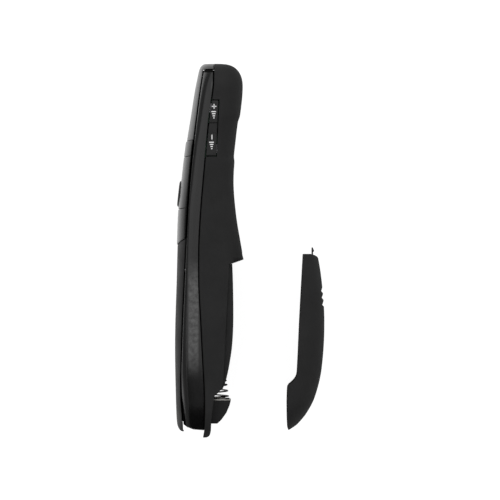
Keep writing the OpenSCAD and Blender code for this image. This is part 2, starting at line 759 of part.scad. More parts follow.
// Wire wound along +Y from radius r0 at the seat to r1 at the tip
module coil(r0, r1, height, turns) {
  per_turn = 14;
  sides = 8;
  n = round(turns * per_turn);
  function at(i) = let (t = i / n, a = 360 * turns * t, r = r0 + (r1 - r0) * t,
    y = spring_wire / 2 + (height - spring_wire) * ramp(t)) [r, a, y];
  points = [for (i = [0:n], k = [0:sides - 1]) let (p = at(i), s = 360 * k / sides,
    r = p[0] + spring_wire / 2 * cos(s)) [r * cos(p[1]), p[2] + spring_wire / 2 * sin(s), r * sin(p[1])]];
  faces = concat([[for (k = [0:sides - 1]) k]],
    [for (i = [0:n - 1], k = [0:sides - 1]) let (a = i * sides, m = (k + 1) % sides)
      [a + k, a + sides + k, a + sides + m, a + m]],
    [[for (k = [sides - 1:-1:0]) n * sides + k]]);
  polyhedron(points, faces);
}

module battery_springs() color(metal) {
  translate([cell_x, bay_bottom_y + plate + 0.04, mid_z + cell_pitch / 2])
    coil(spring_base_r, spring_tip_r, spring_free, spring_turns);
  translate([cell_x, bay_top_y - plate - 0.04, mid_z - cell_pitch / 2]) rotate([180, 0, 0])
    coil(spring_base_r, spring_tip_r, spring_free, spring_turns);
}

// ---------------------------------------------------------------- board

module main_board() color(board_green) on_board() difference() {
  translate([0, board_y[0], mid_z - board_half])
    cube([board_thick, board_y[1] - board_y[0], 2 * board_half]);
  for (y = board_screw_y, side = [-1, 1])
    rod_x(-1, 2 * board_thick, y / cos(board_slope), mid_z + side * board_screw_z,
      board_screw_d + 2 * screw_play);
}

// A part on the back of the board, as [along, across, length, width, height]
module on_back(p) {
  on_board() translate([board_thick + 0.02, p[0] * ky - p[2] / 2, mid_z + p[1] - p[3] / 2])
    cube([p[4], p[2], p[3]]);
}

module controller_chip() color([0.05, 0.05, 0.05]) on_back([14, -5, 7, 7, 0.9]);
module radio_chip() color([0.05, 0.05, 0.05]) on_back([-2, 5, 4, 4, 0.8]);
module clock_crystal() color(metal) on_back([-3, -3, 5, 3.2, 1]);
module board_parts() color([0.6, 0.5, 0.35])
  for (p = [[24, 4, 2, 1.2, 0.8], [24, 7, 2, 1.2, 0.8], [5, 8, 1.6, 0.8, 0.7],
      [5, -9, 3.2, 2.5, 1.8], [32, -6, 3, 3, 1.5], [33, 6, 2, 1.2, 0.8]])
    on_back(p);

module status_led() color([0.8, 0.9, 0.8]) on_board()
  translate([-led_h - 0.02, light_y / cos(board_slope) - 0.6, mid_z - 0.8]) cube([led_h, 1.2, 1.6]);

module light_pipe() color([0.85, 0.9, 0.9])
  rod_x(front_x(light_y, 0.1), board_face(light_y) - led_h - 0.2, light_y, mid_z, light_d);

// ---------------------------------------------------------------- laser

module laser_barrel() color(brass) difference() {
  rod_y(laser_back_y, laser_end_y, laser_x, mid_z, laser_d);
  rod_y(laser_end_y - laser_length / 3, laser_end_y + 1, laser_x, mid_z, lens_d);
  rod_y(laser_back_y - 1, laser_end_y - laser_length / 2, laser_x, mid_z, lens_d);
}

module laser_lens() color([0.8, 0.85, 0.9]) translate([laser_x, laser_end_y - 2.4, mid_z])
  rotate([-90, 0, 0]) rotate_extrude() polygon([[0, 0],
    for (a = [0:6]) [(lens_d / 2 - 0.03) * a / 6, 0.8 + 0.6 * cos(90 * a / 6)],
    [lens_d / 2 - 0.03, 0]]);

// Diode in the barrel's rear bore, its two legs reaching to the driver board
module laser_diode() color(metal) {
  rod_y(laser_back_y + 4, laser_end_y - laser_length / 2 - 0.1, laser_x, mid_z, lens_d - 0.1);
  for (side = [-1, 1]) rod_y(laser_back_y - 1.2, laser_back_y + 4.05, laser_x, mid_z + side * 1.2, 0.5);
}

module laser_board() color(board_green)
  translate([laser_x - 0.5, laser_back_y - 8.5, mid_z - 3]) cube([1, 7.2, 6]);

module laser_window() color([0.35, 0.05, 0.05])
  rod_y(top_y - wall - 0.2, top_y - wall - 0.2 + window_thick, laser_x, mid_z, window_d + 0.2);

// Cradle between the barrel and the rear shell
module laser_cradle() color(black) difference() {
  slab([laser_x - 1, rear_x(cradle_y[0], wall + 0.3)], cradle_y, cradle_half);
  rod_y(cradle_y[0] - 1, cradle_y[1] + 1, laser_x, mid_z, laser_d + 0.2);
}

// ---------------------------------------------------------------- receiver

// Stepped block round the receiver: its grip below the shoulder, its plug above
module bay_block(grip, plug, low, shoulder, high) {
  slab([bay_x - grip[0], bay_x + grip[0]], [low, shoulder], grip[1]);
  slab([bay_x - plug[0], bay_x + plug[0]], [shoulder - 1, high], plug[1]);
}

shoulder_y = receiver_end_y + receiver_length;
plug_end_y = shoulder_y + plug_length;
grip_half = [receiver_thick / 2 + receiver_gap, receiver_width / 2 + receiver_gap];
plug_half = [plug_size[0] / 2 + receiver_gap, plug_size[1] / 2 + receiver_gap];

// Outside of the receiver's bay, grown by a margin
module bay_outline(margin) {
  grow = [bay_wall + margin, bay_wall + margin];
  bay_block(grip_half + grow, plug_half + grow, bottom_y, shoulder_y + bay_shoulder + margin,
    plug_end_y + bay_top + bay_shoulder + margin);
}

module receiver_bay() color(black) difference() {
  intersection() {
    bay_outline(0);
    slab([-far, far], [bay_mouth_y, far], far);
  }
  bay_block(grip_half, plug_half, bottom_y - 1, shoulder_y + receiver_gap, plug_end_y + receiver_gap);
}

module receiver_body() color(black) {
  hx = receiver_thick / 2 - receiver_round;
  hz = receiver_width / 2 - receiver_round;
  translate([bay_x, shoulder_y, mid_z]) rotate([90, 0, 0]) linear_extrude(receiver_length)
    polygon([for (q = [[1, 1, 0], [-1, 1, 90], [-1, -1, 180], [1, -1, 270]], a = [0:22.5:90])
      [q[0] * hx + receiver_round * cos(q[2] + a), q[1] * hz + receiver_round * sin(q[2] + a)]]);
}

// Sheet-metal plug with four square windows
module receiver_plug() color(metal) difference() {
  y0 = shoulder_y + 0.02;
  inner = plug_size / 2 - [plug_sheet, plug_sheet];
  slab([bay_x - plug_size[0] / 2, bay_x + plug_size[0] / 2], [y0, plug_end_y], plug_size[1] / 2);
  slab([bay_x - inner[0], bay_x + inner[0]], [y0 + 1, plug_end_y + 1], inner[1]);
  for (side = [-1, 1], x = [-far, 0])
    translate([bay_x + x, y0 + plug_window_y, mid_z + side * plug_window_z - 1]) cube([far, 2, 2]);
}

// Tongue that carries the plug's contacts
module receiver_contacts() color([0.85, 0.85, 0.85])
  slab([bay_x - plug_size[0] / 2 + plug_sheet + 0.05, bay_x - 0.1],
    [shoulder_y + 1.04, plug_end_y - 1], plug_size[1] / 2 - plug_sheet - 0.05);

// ---------------------------------------------------------------- screws

module screw_along_x(x, y, z, d, head_d, head_h, length) {
  rod_x(x, x + head_h, y, z, head_d);
  rod_x(x - length, x + eps, y, z, d);
}

module housing_screws() color(metal) for (y = housing_screw_y, side = [-1, 1])
  screw_along_x(tray_floor_x + 0.02, y, mid_z + side * housing_screw_z,
    screw_d, screw_head_d, screw_head_h, housing_screw_length);

module board_screws() color(metal) on_board() for (y = board_screw_y, side = [-1, 1])
  screw_along_x(board_thick + 0.02, y / cos(board_slope), mid_z + side * board_screw_z,
    board_screw_d, board_screw_head[0], board_screw_head[1], board_screw_length);

rear_housing();
front_housing();
upper_panel();
lower_panel();
laser_key();
forward_key();
back_key();
pad_key();
laser_dome();
forward_dome();
back_dome();
pad_dome();
key_mat();
volume_rocker();
rocker_pin();
rocker_bracket();
volume_board();
volume_switches();
power_slider();
power_switch();
battery_cover();
cover_latch();
battery_tray();
bridge_contact();
battery_springs();
top_contacts();
main_board();
controller_chip();
radio_chip();
clock_crystal();
board_parts();
status_led();
light_pipe();
laser_barrel();
laser_lens();
laser_diode();
laser_board();
laser_window();
laser_cradle();
receiver_bay();
receiver_body();
receiver_plug();
receiver_contacts();
housing_screws();
board_screws();
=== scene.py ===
"""Handheld presenter lying on its side beside its battery cover, dressed for rendering."""

import math

import bmesh
import bpy
from bpy.props import FloatProperty, FloatVectorProperty, PointerProperty
from mathutils import Matrix, Vector


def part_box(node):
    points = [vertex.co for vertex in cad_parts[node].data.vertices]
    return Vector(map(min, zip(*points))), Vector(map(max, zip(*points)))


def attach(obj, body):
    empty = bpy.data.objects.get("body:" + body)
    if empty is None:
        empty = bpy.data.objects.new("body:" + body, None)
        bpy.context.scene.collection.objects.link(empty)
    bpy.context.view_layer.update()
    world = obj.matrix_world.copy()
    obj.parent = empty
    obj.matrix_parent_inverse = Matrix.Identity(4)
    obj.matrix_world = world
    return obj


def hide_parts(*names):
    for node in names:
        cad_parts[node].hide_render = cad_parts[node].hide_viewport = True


bl_info = {
    "name": "Presenter with battery cover",
    "version": (1, 0, 0),
    "blender": (4, 5, 0),
    "location": "3D View > Sidebar > Presenter",
    "description": "Builds the shells, keys, bay parts and stage round the packed presenter",
    "category": "Object",
}

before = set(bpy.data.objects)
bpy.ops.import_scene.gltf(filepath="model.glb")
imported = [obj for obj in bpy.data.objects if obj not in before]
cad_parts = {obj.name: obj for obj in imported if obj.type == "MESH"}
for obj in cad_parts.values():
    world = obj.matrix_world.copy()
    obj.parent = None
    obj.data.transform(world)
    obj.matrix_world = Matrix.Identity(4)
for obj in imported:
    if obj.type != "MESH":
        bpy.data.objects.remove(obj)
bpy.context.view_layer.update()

MM = 0.001

# ------------------------------------------------------------ the body's form, in millimetres

# Superellipses: their exponent, the depth of both rounded lobes, the least depth of a section
# and the most of it that a lobe takes up
SQUARENESS = 2.5
FACE_CROWN = 8.0
BACK_CROWN = 9.0
LEAST_DEPTH = 0.6
MOST_LOBE = 0.49

# Lines along the body, as (height before stretching, x)
FRONT_LINE = [(-76.4, -14.6), (-72, -15.2), (-60, -15.75), (-36, -16.1), (-10, -15.4), (5, -15),
              (17, -14.5), (29, -13.2), (41, -11.8), (53, -9.9), (65, -8), (75.2, -5.9)]
REAR_LINE = [(-76.4, 0.4), (-74.2, 3.6), (-69.4, 7.6), (-62.9, 10.9), (-51.6, 13.6),
             (-32.3, 14.7), (-14.6, 13.4), (0, 10.9), (14.6, 8.5), (29, 7.5), (46, 9), (60, 10.8),
             (66, 11.2), (75.2, 11.2)]
FACE_SEAM = [(-76, -12.4), (-69.8, -12.6), (-57.3, -13.4), (-36, -13), (-14.6, -12.1),
             (1.5, -11.4), (23.7, -10.1), (42.6, -8.3), (61.6, -6), (76, -3.8)]
BAND_SEAM = [(-76, -5.4), (-70, -4.5), (-57.3, -4.4), (-44, -5.1), (-27.9, -5.9), (-14.6, -6.6),
             (-6.5, -6.7), (2.7, -6.6), (15.6, -5.9), (33.4, -4.4), (51.9, -2.7), (60.8, -1.5),
             (66.8, -0.8), (76, -0.7)]
BAY_EDGE = [(-76, -1.8), (-70.2, -1.6), (-65, -1.1), (-61, -0.6), (-58.4, -0.2), (-56.7, 1.6),
            (-55, 2.9), (-53, 3.4), (-32, 4.4), (-8, 5.7), (-4, 5.9)]
COVER_LOW_EDGE = [(-76.4, 0.2), (-75, -0.3), (-66, -0.5), (-61, -0.4)]
LIP_EDGE = [(-55.5, 3.1), (-53.1, 4.1), (-50.7, 4.8), (-45.8, 5.8), (-38.6, 6.85), (-28.9, 7.35),
            (-14.4, 7.25), (-4, 6.9)]
ROCKER_BACK = [(38, 0.45), (60.6, 1.55)]

# The band's lower end, as (x, height above the tail)
BAND_BOTTOM = [(-12.6, 6.7), (-11, 5.6), (-8.7, 4.7), (-5, 4.4)]

# Walls
WALL = 1.8
PANEL_WALL = 1.5
COVER_WALL = 1.4
BAY_WALL = 2.6
DECK = 1.0

# Seams and gaps between pieces
SEAM = 0.45
SIDE_GROOVE = 0.75
KEY_GAP = 0.1
COVER_GAP = 0.2
RIM_GAP = 0.1
END_GAP = 0.02

# Small steps: between two sections at a square step, the least run of a skin, and how far
# a cutter or an inner piece goes past a face
HAIR = 0.01
SLIVER = 0.02
SKIM = 0.1

# Ends of the body: how long each rounding is, and how much it takes off
TOP_REACH = {"front": 3.5, "back": 10.0, "side": 13.0}
TOP_DEPTH = {"front": 2.2, "back": 8.8, "side": 12.0}
BOTTOM_REACH = 14.0
BOTTOM_DEPTH = 11.0
TIP_SHARES = (0.7, 0.4, 0.15, 0.02)

# The shells' main places, from the CAD model
_shell_low, _shell_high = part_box("rear_housing")
MID_Z = (_shell_high.z + _shell_low.z) / MM / 2
STRETCH = round((_shell_high.y / MM + END_GAP) / FRONT_LINE[-1][0], 4)
TOP_Y = FRONT_LINE[-1][0] * STRETCH
BOTTOM_Y = FRONT_LINE[0][0] * STRETCH
TAB_BOTTOM_Y = _shell_low.y / MM
END_WALL_Y = BOTTOM_Y + 8
BAR_TOP_Y = END_WALL_Y - 1.3
BAY_BOTTOM_Y = BOTTOM_Y + 16.3
LIP_LOW_Y = LIP_EDGE[0][0] * STRETCH
LIP_INSET = 1.6

# Rear shell: the step where the cover ends, the finger rest, the tab, and where the sections
# of the end start to draw closer together
STEP_IN = (6.45, -5.3 * STRETCH)
STEP_OUT = (11.6, STEP_IN[1] + 1.7)
REST_Y = (35.4 * STRETCH, 54.6 * STRETCH)
REST_DEPTH = 0.5
REST_SHOULDER = 3.0
TAB_RIGHT = -1.8
TAB_CORNER = 2.0
TOP_FROM_Y = 60

# Band: how far its tail sinks, over what run, and its lap over the seam at the low end
TAIL_FROM = -44.0
TAIL_RUN = 26.0
TAIL_SAG = 1.0
TAIL_LAP = 2

# Tongues and ribs behind the band's seams
TONGUE_INSET = 1.4
TONGUE_REACH = 1.0
TONGUE_ROOT = 1.0
TONGUE_GAP = 0.15
TONGUE_FROM = 0.7
RIB_HEIGHT = 1.1
RIB_Z = 6.2
RIB_WALL = 0.8
RIB_CLEAR = 0.2
RIB_PAST_KEYS = 1

# Fixed panels: their ends, the foot and the turn over the laser end, and the low corner
FACE_TOP_Y = TOP_Y - 2.6
FACE_BOTTOM_Y = BOTTOM_Y + 3.9
FOOT_Y = (FACE_TOP_Y - 2.2, FACE_TOP_Y - 0.1)
FOOT_HALF = 4.0
FOOT_GAP = 0.05
PANEL_TURN_Y = 70
FACE_CORNER = (2.3, 4.0)
CORNER_EASE = 0.2

# Least share of a face's normal along Z and along Y for the painted shade on the flanks and on the
# end
FLANK_TURN = 0.62
END_TURN = 0.25

# Pad: a dish of (radius, depth) points inside a rolled rim
PAD_Y = 22.9 * STRETCH
PAD_D = 10.6
PAD_HOLE_R = PAD_D / 2 + 0.3
PAD_PROUD = 0.6
PAD_THICK = 2.2
PAD_DISH = [(0.0, 0.12), (1.5, 0.1), (2.6, 0.06), (3.4, 0.015), (3.9, 0.0), (4.25, 0.02)]
PAD_RIM = 0.8
PAD_RIM_FROM = 0.25
PAD_RIM_DROP = 0.05
PAD_CHAMFER = 0.15

# Keys: the seams from the top down, their bow at the sides, and the stems
KEY_Y = [44 * STRETCH, 37.6 * STRETCH, PAD_Y - PAD_HOLE_R - 0.6, 2.3 * STRETCH]
STEM_SEAM_Y = [44.5 * STRETCH, 38.3 * STRETCH, PAD_Y - PAD_HOLE_R - 0.3, 2.5 * STRETCH]
KEY_CENTRES = [(STEM_SEAM_Y[0] + STEM_SEAM_Y[1]) / 2, (PAD_Y + PAD_D / 2 + STEM_SEAM_Y[1]) / 2,
               PAD_Y, (STEM_SEAM_Y[2] + STEM_SEAM_Y[3]) / 2]
KEY_PROUD = 0.3
KEY_TRAVEL = 0.6
SEAM_SAG = (0.7, 0.7, 0.7, 3.4)
SAG_FADE = 14
STEM_R = 1.5
STEM_LAP = 0.4

# Battery cover: where it lies, its top corner, and the thumb ridges with the start, the deepest
# place and the end of their grooves as shares of the pitch
COVER_SHIFT = Vector((29.38, 4.2, 0))
COVER_TOP_Y = STEP_IN[1] - 0.15
COVER_CORNER = [(0.0, 0.0), (1.5, 0.5), (2.4, 1.1), (2.9, 1.9)]
COVER_CORNER_FROM = 2.7
COVER_CORNER_FADE = 16
RIDGE_Y = [-21.4 * STRETCH, -24.1 * STRETCH, -26.9 * STRETCH]
RIDGE_PITCH = 2.75
RIDGE_HALF = 9.0
RIDGE_DEPTH = 0.6
RIDGE_START, RIDGE_DEEPEST, RIDGE_END = 0.073, 0.35, 0.9

# Holes and slots in the shells
ROCKER_Y = 49.2 * STRETCH
ROCKER_LENGTH = 22.2
ROCKER_GAP = 0.35
SLOT_CUT_Z = (MID_Z + 8, MID_Z + 30)
SWITCH_Y = 20 * STRETCH
SWITCH_WINDOW = (1.45, 4.85)
SWITCH_CORNER = 0.5
LATCH_GAP = 0.4
LATCH_BACK_GAP = 0.3
LASER_X = 3.6
LASER_HOLE_R = 2.7
MOUTH_CORNER = 1.6
FACE_CUT_X = (-20, 0)
STEM_HOLE_R = 3.4
LIGHT_Y = 49.5 * STRETCH
LIGHT_HOLE_R = 1.1
LIGHT_BORE_R = 1.2


def smooth_value(y, stations):
    """Smooth value of a station list at y, held past its ends."""
    last = len(stations) - 1
    i = 0
    while i < last - 1 and y >= stations[i + 1][0]:
        i += 1

    def slope(k):
        a, b = max(0, k - 1), min(last, k + 1)
        return (stations[b][1] - stations[a][1]) / (stations[b][0] - stations[a][0])

    h = stations[i + 1][0] - stations[i][0]
    t = min(1.0, max(0.0, (y - stations[i][0]) / h))
    return (stations[i][1] * (1 + 2 * t) * (1 - t) ** 2 + slope(i) * h * t * (1 - t) ** 2
            + stations[i + 1][1] * t * t * (3 - 2 * t) - slope(i + 1) * h * t * t * (1 - t))


def straight_value(x, stations):
    """Straight-line value of a station list at x, held past its ends."""
    if x <= stations[0][0]:
        return stations[0][1]
    for (x0, v0), (x1, v1) in zip(stations, stations[1:]):
        if x <= x1:
            return v0 + (v1 - v0) * (x - x0) / (x1 - x0)
    return stations[-1][1]


def outline(y, stations):
    """X of an outline at height y of the body."""
    return smooth_value(y / STRETCH, stations)


def drop(t):
    """Superellipse quarter: 0 at the start of an end rounding, 1 at its tip."""
    if t <= 0:
        return 0.0
    return 1 - max(0.0, 1 - min(1.0, t) ** SQUARENESS) ** (1 / SQUARENESS)


def ramp(t):
    """Smooth step from 0 to 1."""
    t = min(1.0, max(0.0, t))
    return t * t * (3 - 2 * t)


def top_drop(y, inset, part):
    """How far a part of the outline has come in at y towards the laser end."""
    start = TOP_Y - inset - TOP_REACH[part]
    return TOP_DEPTH[part] * drop((y - start) / TOP_REACH[part])


def rest_dip(y):
    """Depth of the finger rest on the back."""
    return (REST_DEPTH * ramp((y - REST_Y[0]) / REST_SHOULDER)
            * ramp((REST_Y[1] - y) / REST_SHOULDER))


def ring(y, inset):
    """Front and rear x, half width and the depths of both rounded lobes."""
    front = outline(y, FRONT_LINE) + inset + top_drop(y, inset, "front")
    rear = outline(y, REAR_LINE) - inset - top_drop(y, inset, "back") - rest_dip(y)
    rear = max(rear, front + LEAST_DEPTH)
    bottom = BOTTOM_DEPTH * drop((BOTTOM_Y + inset + BOTTOM_REACH - y) / BOTTOM_REACH)
    half = MID_Z - inset - max(top_drop(y, inset, "side"), bottom)
    most = (rear - front) * MOST_LOBE
    return front, rear, half, min(FACE_CROWN - inset, most), min(BACK_CROWN - inset, most)


def bow(v):
    """Share of a superellipse's half axis for a sine or cosine."""
    return abs(v) ** (2 / SQUARENESS)


def on_front(y, angle, inset):
    """Point of the key face at an angle from its middle line."""
    front, _, half, lobe, _ = ring(y, inset)
    x = front + lobe * (1 - bow(math.cos(angle)))
    return Vector((x, y, MID_Z + half * bow(math.sin(angle))))


def on_back(y, angle, inset):
    """Point of the back at an angle from its middle line."""
    _, rear, half, _, lobe = ring(y, inset)
    x = rear - lobe * (1 - bow(math.cos(angle)))
    return Vector((x, y, MID_Z + half * bow(math.sin(angle))))


def on_side(y, x, inset):
    """Point of the upper side at x."""
    front, rear, half, face, back = ring(y, inset)
    u = max(0.0, (front + face - x) / face, (x - rear + back) / back)
    return Vector((x, y, MID_Z + half * (1 - min(1.0, u) ** SQUARENESS) ** (1 / SQUARENESS)))


def lobe_angle(x_share):
    """Angle at which a lobe has come in by a share of its depth."""
    return math.acos(min(1.0, max(0.0, 1 - x_share)) ** (SQUARENESS / 2))


def front_angle(y, x, inset):
    """Angle on the key face at which it reaches x."""
    front, _, _, lobe, _ = ring(y, inset)
    return lobe_angle((x - front) / lobe)


def back_angle(y, x, inset):
    """Angle on the back at which it reaches x."""
    _, rear, _, _, lobe = ring(y, inset)
    return lobe_angle((rear - x) / lobe)


def spread(a, b, n):
    """n even steps from a to b, both ends included."""
    return [a + (b - a) * i / n for i in range(n + 1)]


def closing(a, b, n):
    """n steps from a to b that grow closer together towards b."""
    return [a + (b - a) * math.sin(t) for t in spread(0, math.pi / 2, n)]


def rounding(radius, n=3):
    """Steps round an edge: how far it is from the end, and how much is taken off."""
    return [(radius * (1 - math.sin(a)), radius * (1 - math.cos(a)))
            for a in spread(0, math.pi / 2, n)]


# ------------------------------------------------------------ mesh helpers

# Distances at which points count as one, in metres: of new meshes, of CAD meshes, and the
# shortest edge; and the angle in degrees from which an edge counts as sharp
WELD = 2e-6
CAD_WELD = 1e-6
LEAST_EDGE = 1e-7
SHARP = 35.0
CAD_SHARP = 40.0


def extrude_row(bm, row, places, closed=False):
    """Extrudes a row of vertices to the next section and returns the new row."""
    pairs = zip(row, row[1:] + row[:1]) if closed else zip(row, row[1:])
    made = bmesh.ops.extrude_edge_only(bm, edges=[bm.edges.get(p) for p in pairs])["geom"]
    fresh = {v for v in made if isinstance(v, bmesh.types.BMVert)}
    following = []
    for vert, place in zip(row, places):
        other = next(v for e in vert.link_edges if (v := e.other_vert(vert)) in fresh)
        other.co = place * MM
        following.append(other)
    return following


def loft(bm, sections, closed=False):
    """Joins sections with equal numbers of points; returns the first and last row."""
    first = [bm.verts.new(p * MM) for p in sections[0]]
    pairs = zip(first, first[1:] + first[:1]) if closed else zip(first, first[1:])
    for pair in pairs:
        bm.edges.new(pair)
    row = first
    for places in sections[1:]:
        row = extrude_row(bm, row, places, closed)
    return first, row


def ladder(bm, row, rungs=None):
    """Closes a wall's end with a strip of faces between its outer and inner half."""
    n = len(row)
    for i in range(rungs or n // 2 - 1):
        corners = [row[i], row[i + 1], row[n - 2 - i], row[n - 1 - i]]
        bmesh.ops.contextual_create(bm, geom=corners)


def lofted_wall(sections):
    """Wall lofted through sections that run out along its skin and back inside; ends closed."""
    bm = bmesh.new()
    first, last = loft(bm, sections)
    ladder(bm, first)
    ladder(bm, last)
    return bm


def add_bar(bm, sections):
    """Solid lofted through closed sections, with a face at each end."""
    for row in loft(bm, sections, closed=True):
        bmesh.ops.contextual_create(bm, geom=row)


def mirror_half(bm):
    """Mirrors the upper half across the middle plane; both halves are welded later."""
    on_plane = [f for f in bm.faces if all(abs(v.co.z / MM - MID_Z) < 1e-4 for v in f.verts)]
    bmesh.ops.delete(bm, geom=on_plane, context="FACES_ONLY")
    space = Matrix.Translation((0, 0, -MID_Z * MM))
    bmesh.ops.mirror(bm, geom=bm.verts[:] + bm.edges[:] + bm.faces[:], matrix=space,
                     merge_dist=0, axis="Z")


def smooth(obj, sharp=SHARP):
    """Smooth shading that leaves the sharp edges sharp."""
    obj.data.shade_smooth()
    obj.data.set_sharp_from_angle(angle=math.radians(sharp))


def finish_mesh(bm, name, sharp=SHARP, shift=None):
    """Makes an object of a bmesh, with merged doubles, outward faces and smooth shading."""
    bmesh.ops.remove_doubles(bm, verts=bm.verts[:], dist=WELD)
    bmesh.ops.dissolve_degenerate(bm, dist=LEAST_EDGE, edges=bm.edges[:])
    loose = [v for v in bm.verts if not v.link_faces]
    bmesh.ops.delete(bm, geom=loose, context="VERTS")
    bmesh.ops.recalc_face_normals(bm, faces=bm.faces[:])
    if shift:
        bmesh.ops.translate(bm, vec=shift * MM, verts=bm.verts[:])
    mesh = bpy.data.meshes.new(name)
    bm.to_mesh(mesh)
    bm.free()
    obj = bpy.data.objects.new(name, mesh)
    bpy.context.scene.collection.objects.link(obj)
    smooth(obj, sharp)
    return obj


def weigh_normals(obj):
    """Keeps flats flat in the shading next to rounded edges."""
    weighted = obj.modifiers.new("weighted normals", "WEIGHTED_NORMAL")
    weighted.keep_sharp = True
    return obj


def carve(obj, *cutters):
    """Cuts the cutters out of a piece and removes them."""
    for cutter in cutters:
        cut = obj.modifiers.new("carve", "BOOLEAN")
        cut.operation = "DIFFERENCE"
        cut.solver = "EXACT"
        cut.object = cutter
    evaluated = obj.evaluated_get(bpy.context.evaluated_depsgraph_get())
    mesh = bpy.data.meshes.new_from_object(evaluated)
    mesh.name = obj.name
    obj.modifiers.clear()
    obj.data = mesh
    for cutter in cutters:
        bpy.data.objects.remove(cutter)
    smooth(obj)


def add_box(bm, low, high, radius=0.0, axis="z", segments=4):
    """Box between two corners in millimetres, its edges along one axis rounded."""
    made = bmesh.ops.create_cube(bm, size=1.0)["verts"]
    low, high = Vector(low), Vector(high)
    bmesh.ops.scale(bm, vec=(high - low) * MM, verts=made)
    bmesh.ops.translate(bm, vec=(high + low) / 2 * MM, verts=made)
    if radius:
        k = "xyz".index(axis)
        edges = {e for v in made for e in v.link_edges}
        along = [e for e in edges if abs((e.verts[0].co - e.verts[1].co)[k]) > CAD_WELD]
        bmesh.ops.bevel(bm, geom=along, offset=radius * MM, offset_type="OFFSET",
                        segments=segments, profile=0.5, affect="EDGES", material=-1)


def add_rod(bm, radius, low, high, segments=48):
    """Cylinder from one point to another, in millimetres."""
    low, high = Vector(low), Vector(high)
    made = bmesh.ops.create_cone(bm, cap_ends=True, segments=segments, radius1=radius * MM,
                                 radius2=radius * MM, depth=(high - low).length * MM)["verts"]
    turn = Vector((0, 0, 1)).rotation_difference(high - low).to_matrix()
    bmesh.ops.rotate(bm, cent=(0, 0, 0), matrix=turn, verts=made)
    bmesh.ops.translate(bm, vec=(high + low) / 2 * MM, verts=made)


def box_piece(name, *args, **options):
    """Object of one box."""
    bm = bmesh.new()
    add_box(bm, *args, **options)
    return finish_mesh(bm, name)


def rod_piece(name, *args, **options):
    """Object of one rod."""
    bm = bmesh.new()
    add_rod(bm, *args, **options)
    return finish_mesh(bm, name)


def add_turned(bm, profile, centre, axis, steps=96):
    """Spins a profile of (radius, height) points round an axis through a centre."""
    side = axis.orthogonal().normalized()
    verts = [bm.verts.new((centre + axis * h + side * r) * MM) for r, h in profile]
    edges = [bm.edges.new(pair) for pair in zip(verts, verts[1:])]
    bmesh.ops.spin(bm, geom=verts + edges, cent=centre * MM, axis=axis, angle=math.tau,
                   steps=steps, use_merge=True)


def softened(node, name, radius):
    """Copy of a CAD node with its flats joined and its sharp edges rounded."""
    bm = bmesh.new()
    bm.from_mesh(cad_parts[node].data)
    bmesh.ops.remove_doubles(bm, verts=bm.verts[:], dist=CAD_WELD)
    bmesh.ops.dissolve_limit(bm, angle_limit=math.radians(2), verts=bm.verts[:], edges=bm.edges[:])
    limit = math.radians(CAD_SHARP)
    sharp = [e for e in bm.edges if e.is_manifold and e.calc_face_angle(0) > limit]
    bmesh.ops.bevel(bm, geom=sharp, offset=radius * MM, offset_type="OFFSET", segments=2,
                    profile=0.5, affect="EDGES", material=-1, clamp_overlap=True)
    return finish_mesh(bm, name)


def paint_flank_shade(obj, finish):
    """Gives the faces that look along Z, up or down, a darker copy of their finish: painted shade on
    the flanks.
    """
    obj.data.materials.append(finish_of(finish))
    for face in obj.data.polygons:
        face.material_index = int(abs(face.normal.z) > FLANK_TURN)


def paint_end_shade(obj, finish):
    """Gives the faces of the end under the upper panel a darker finish of their own: painted shade
    under the panel.
    """
    obj.data.materials.append(finish_of(finish))
    for face in obj.data.polygons:
        if face.center.y > (FACE_TOP_Y - DECK) * MM and face.normal.y > END_TURN:
            face.material_index = 1


def dress(obj, body, finish, slot, *nodes):
    """Gives a piece its material, its body and the CAD nodes it stands for."""
    obj.data.materials.clear()
    obj.data.materials.append(finish_of(finish))
    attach(obj, body)
    if nodes:
        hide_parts(*nodes)
    return obj


# ------------------------------------------------------------ materials

# Painted light patches: scale, detail and roughness of their clouds, how thin they get, and the
# noise values they span
CLOUDS = (420.0, 4.0, 0.7)
CLOUD_LEAST = 0.35
CLOUD_SPAN = (0.35, 0.65)

# Low end, high end and softness of the patches along X and along Y, in millimetres: painted shade
# under the rear shell's step and a painted highlight on the band
SHELL_PAINTED_SHADE = ((8.0, 12.5, 1.0), (-6.5, -3.3, 0.8))
BAND_PAINTED_HIGHLIGHT = ((-10.2, -7.0, 0.8), (-40.0, -14.0, 11.0))

# Depths of the moulded grain and of the polished skin's waves, in metres
DEEP_GRAIN, MILD_GRAIN, LIGHT_GRAIN = 0.00004, 0.00003, 0.00002
WAVE = 0.00002


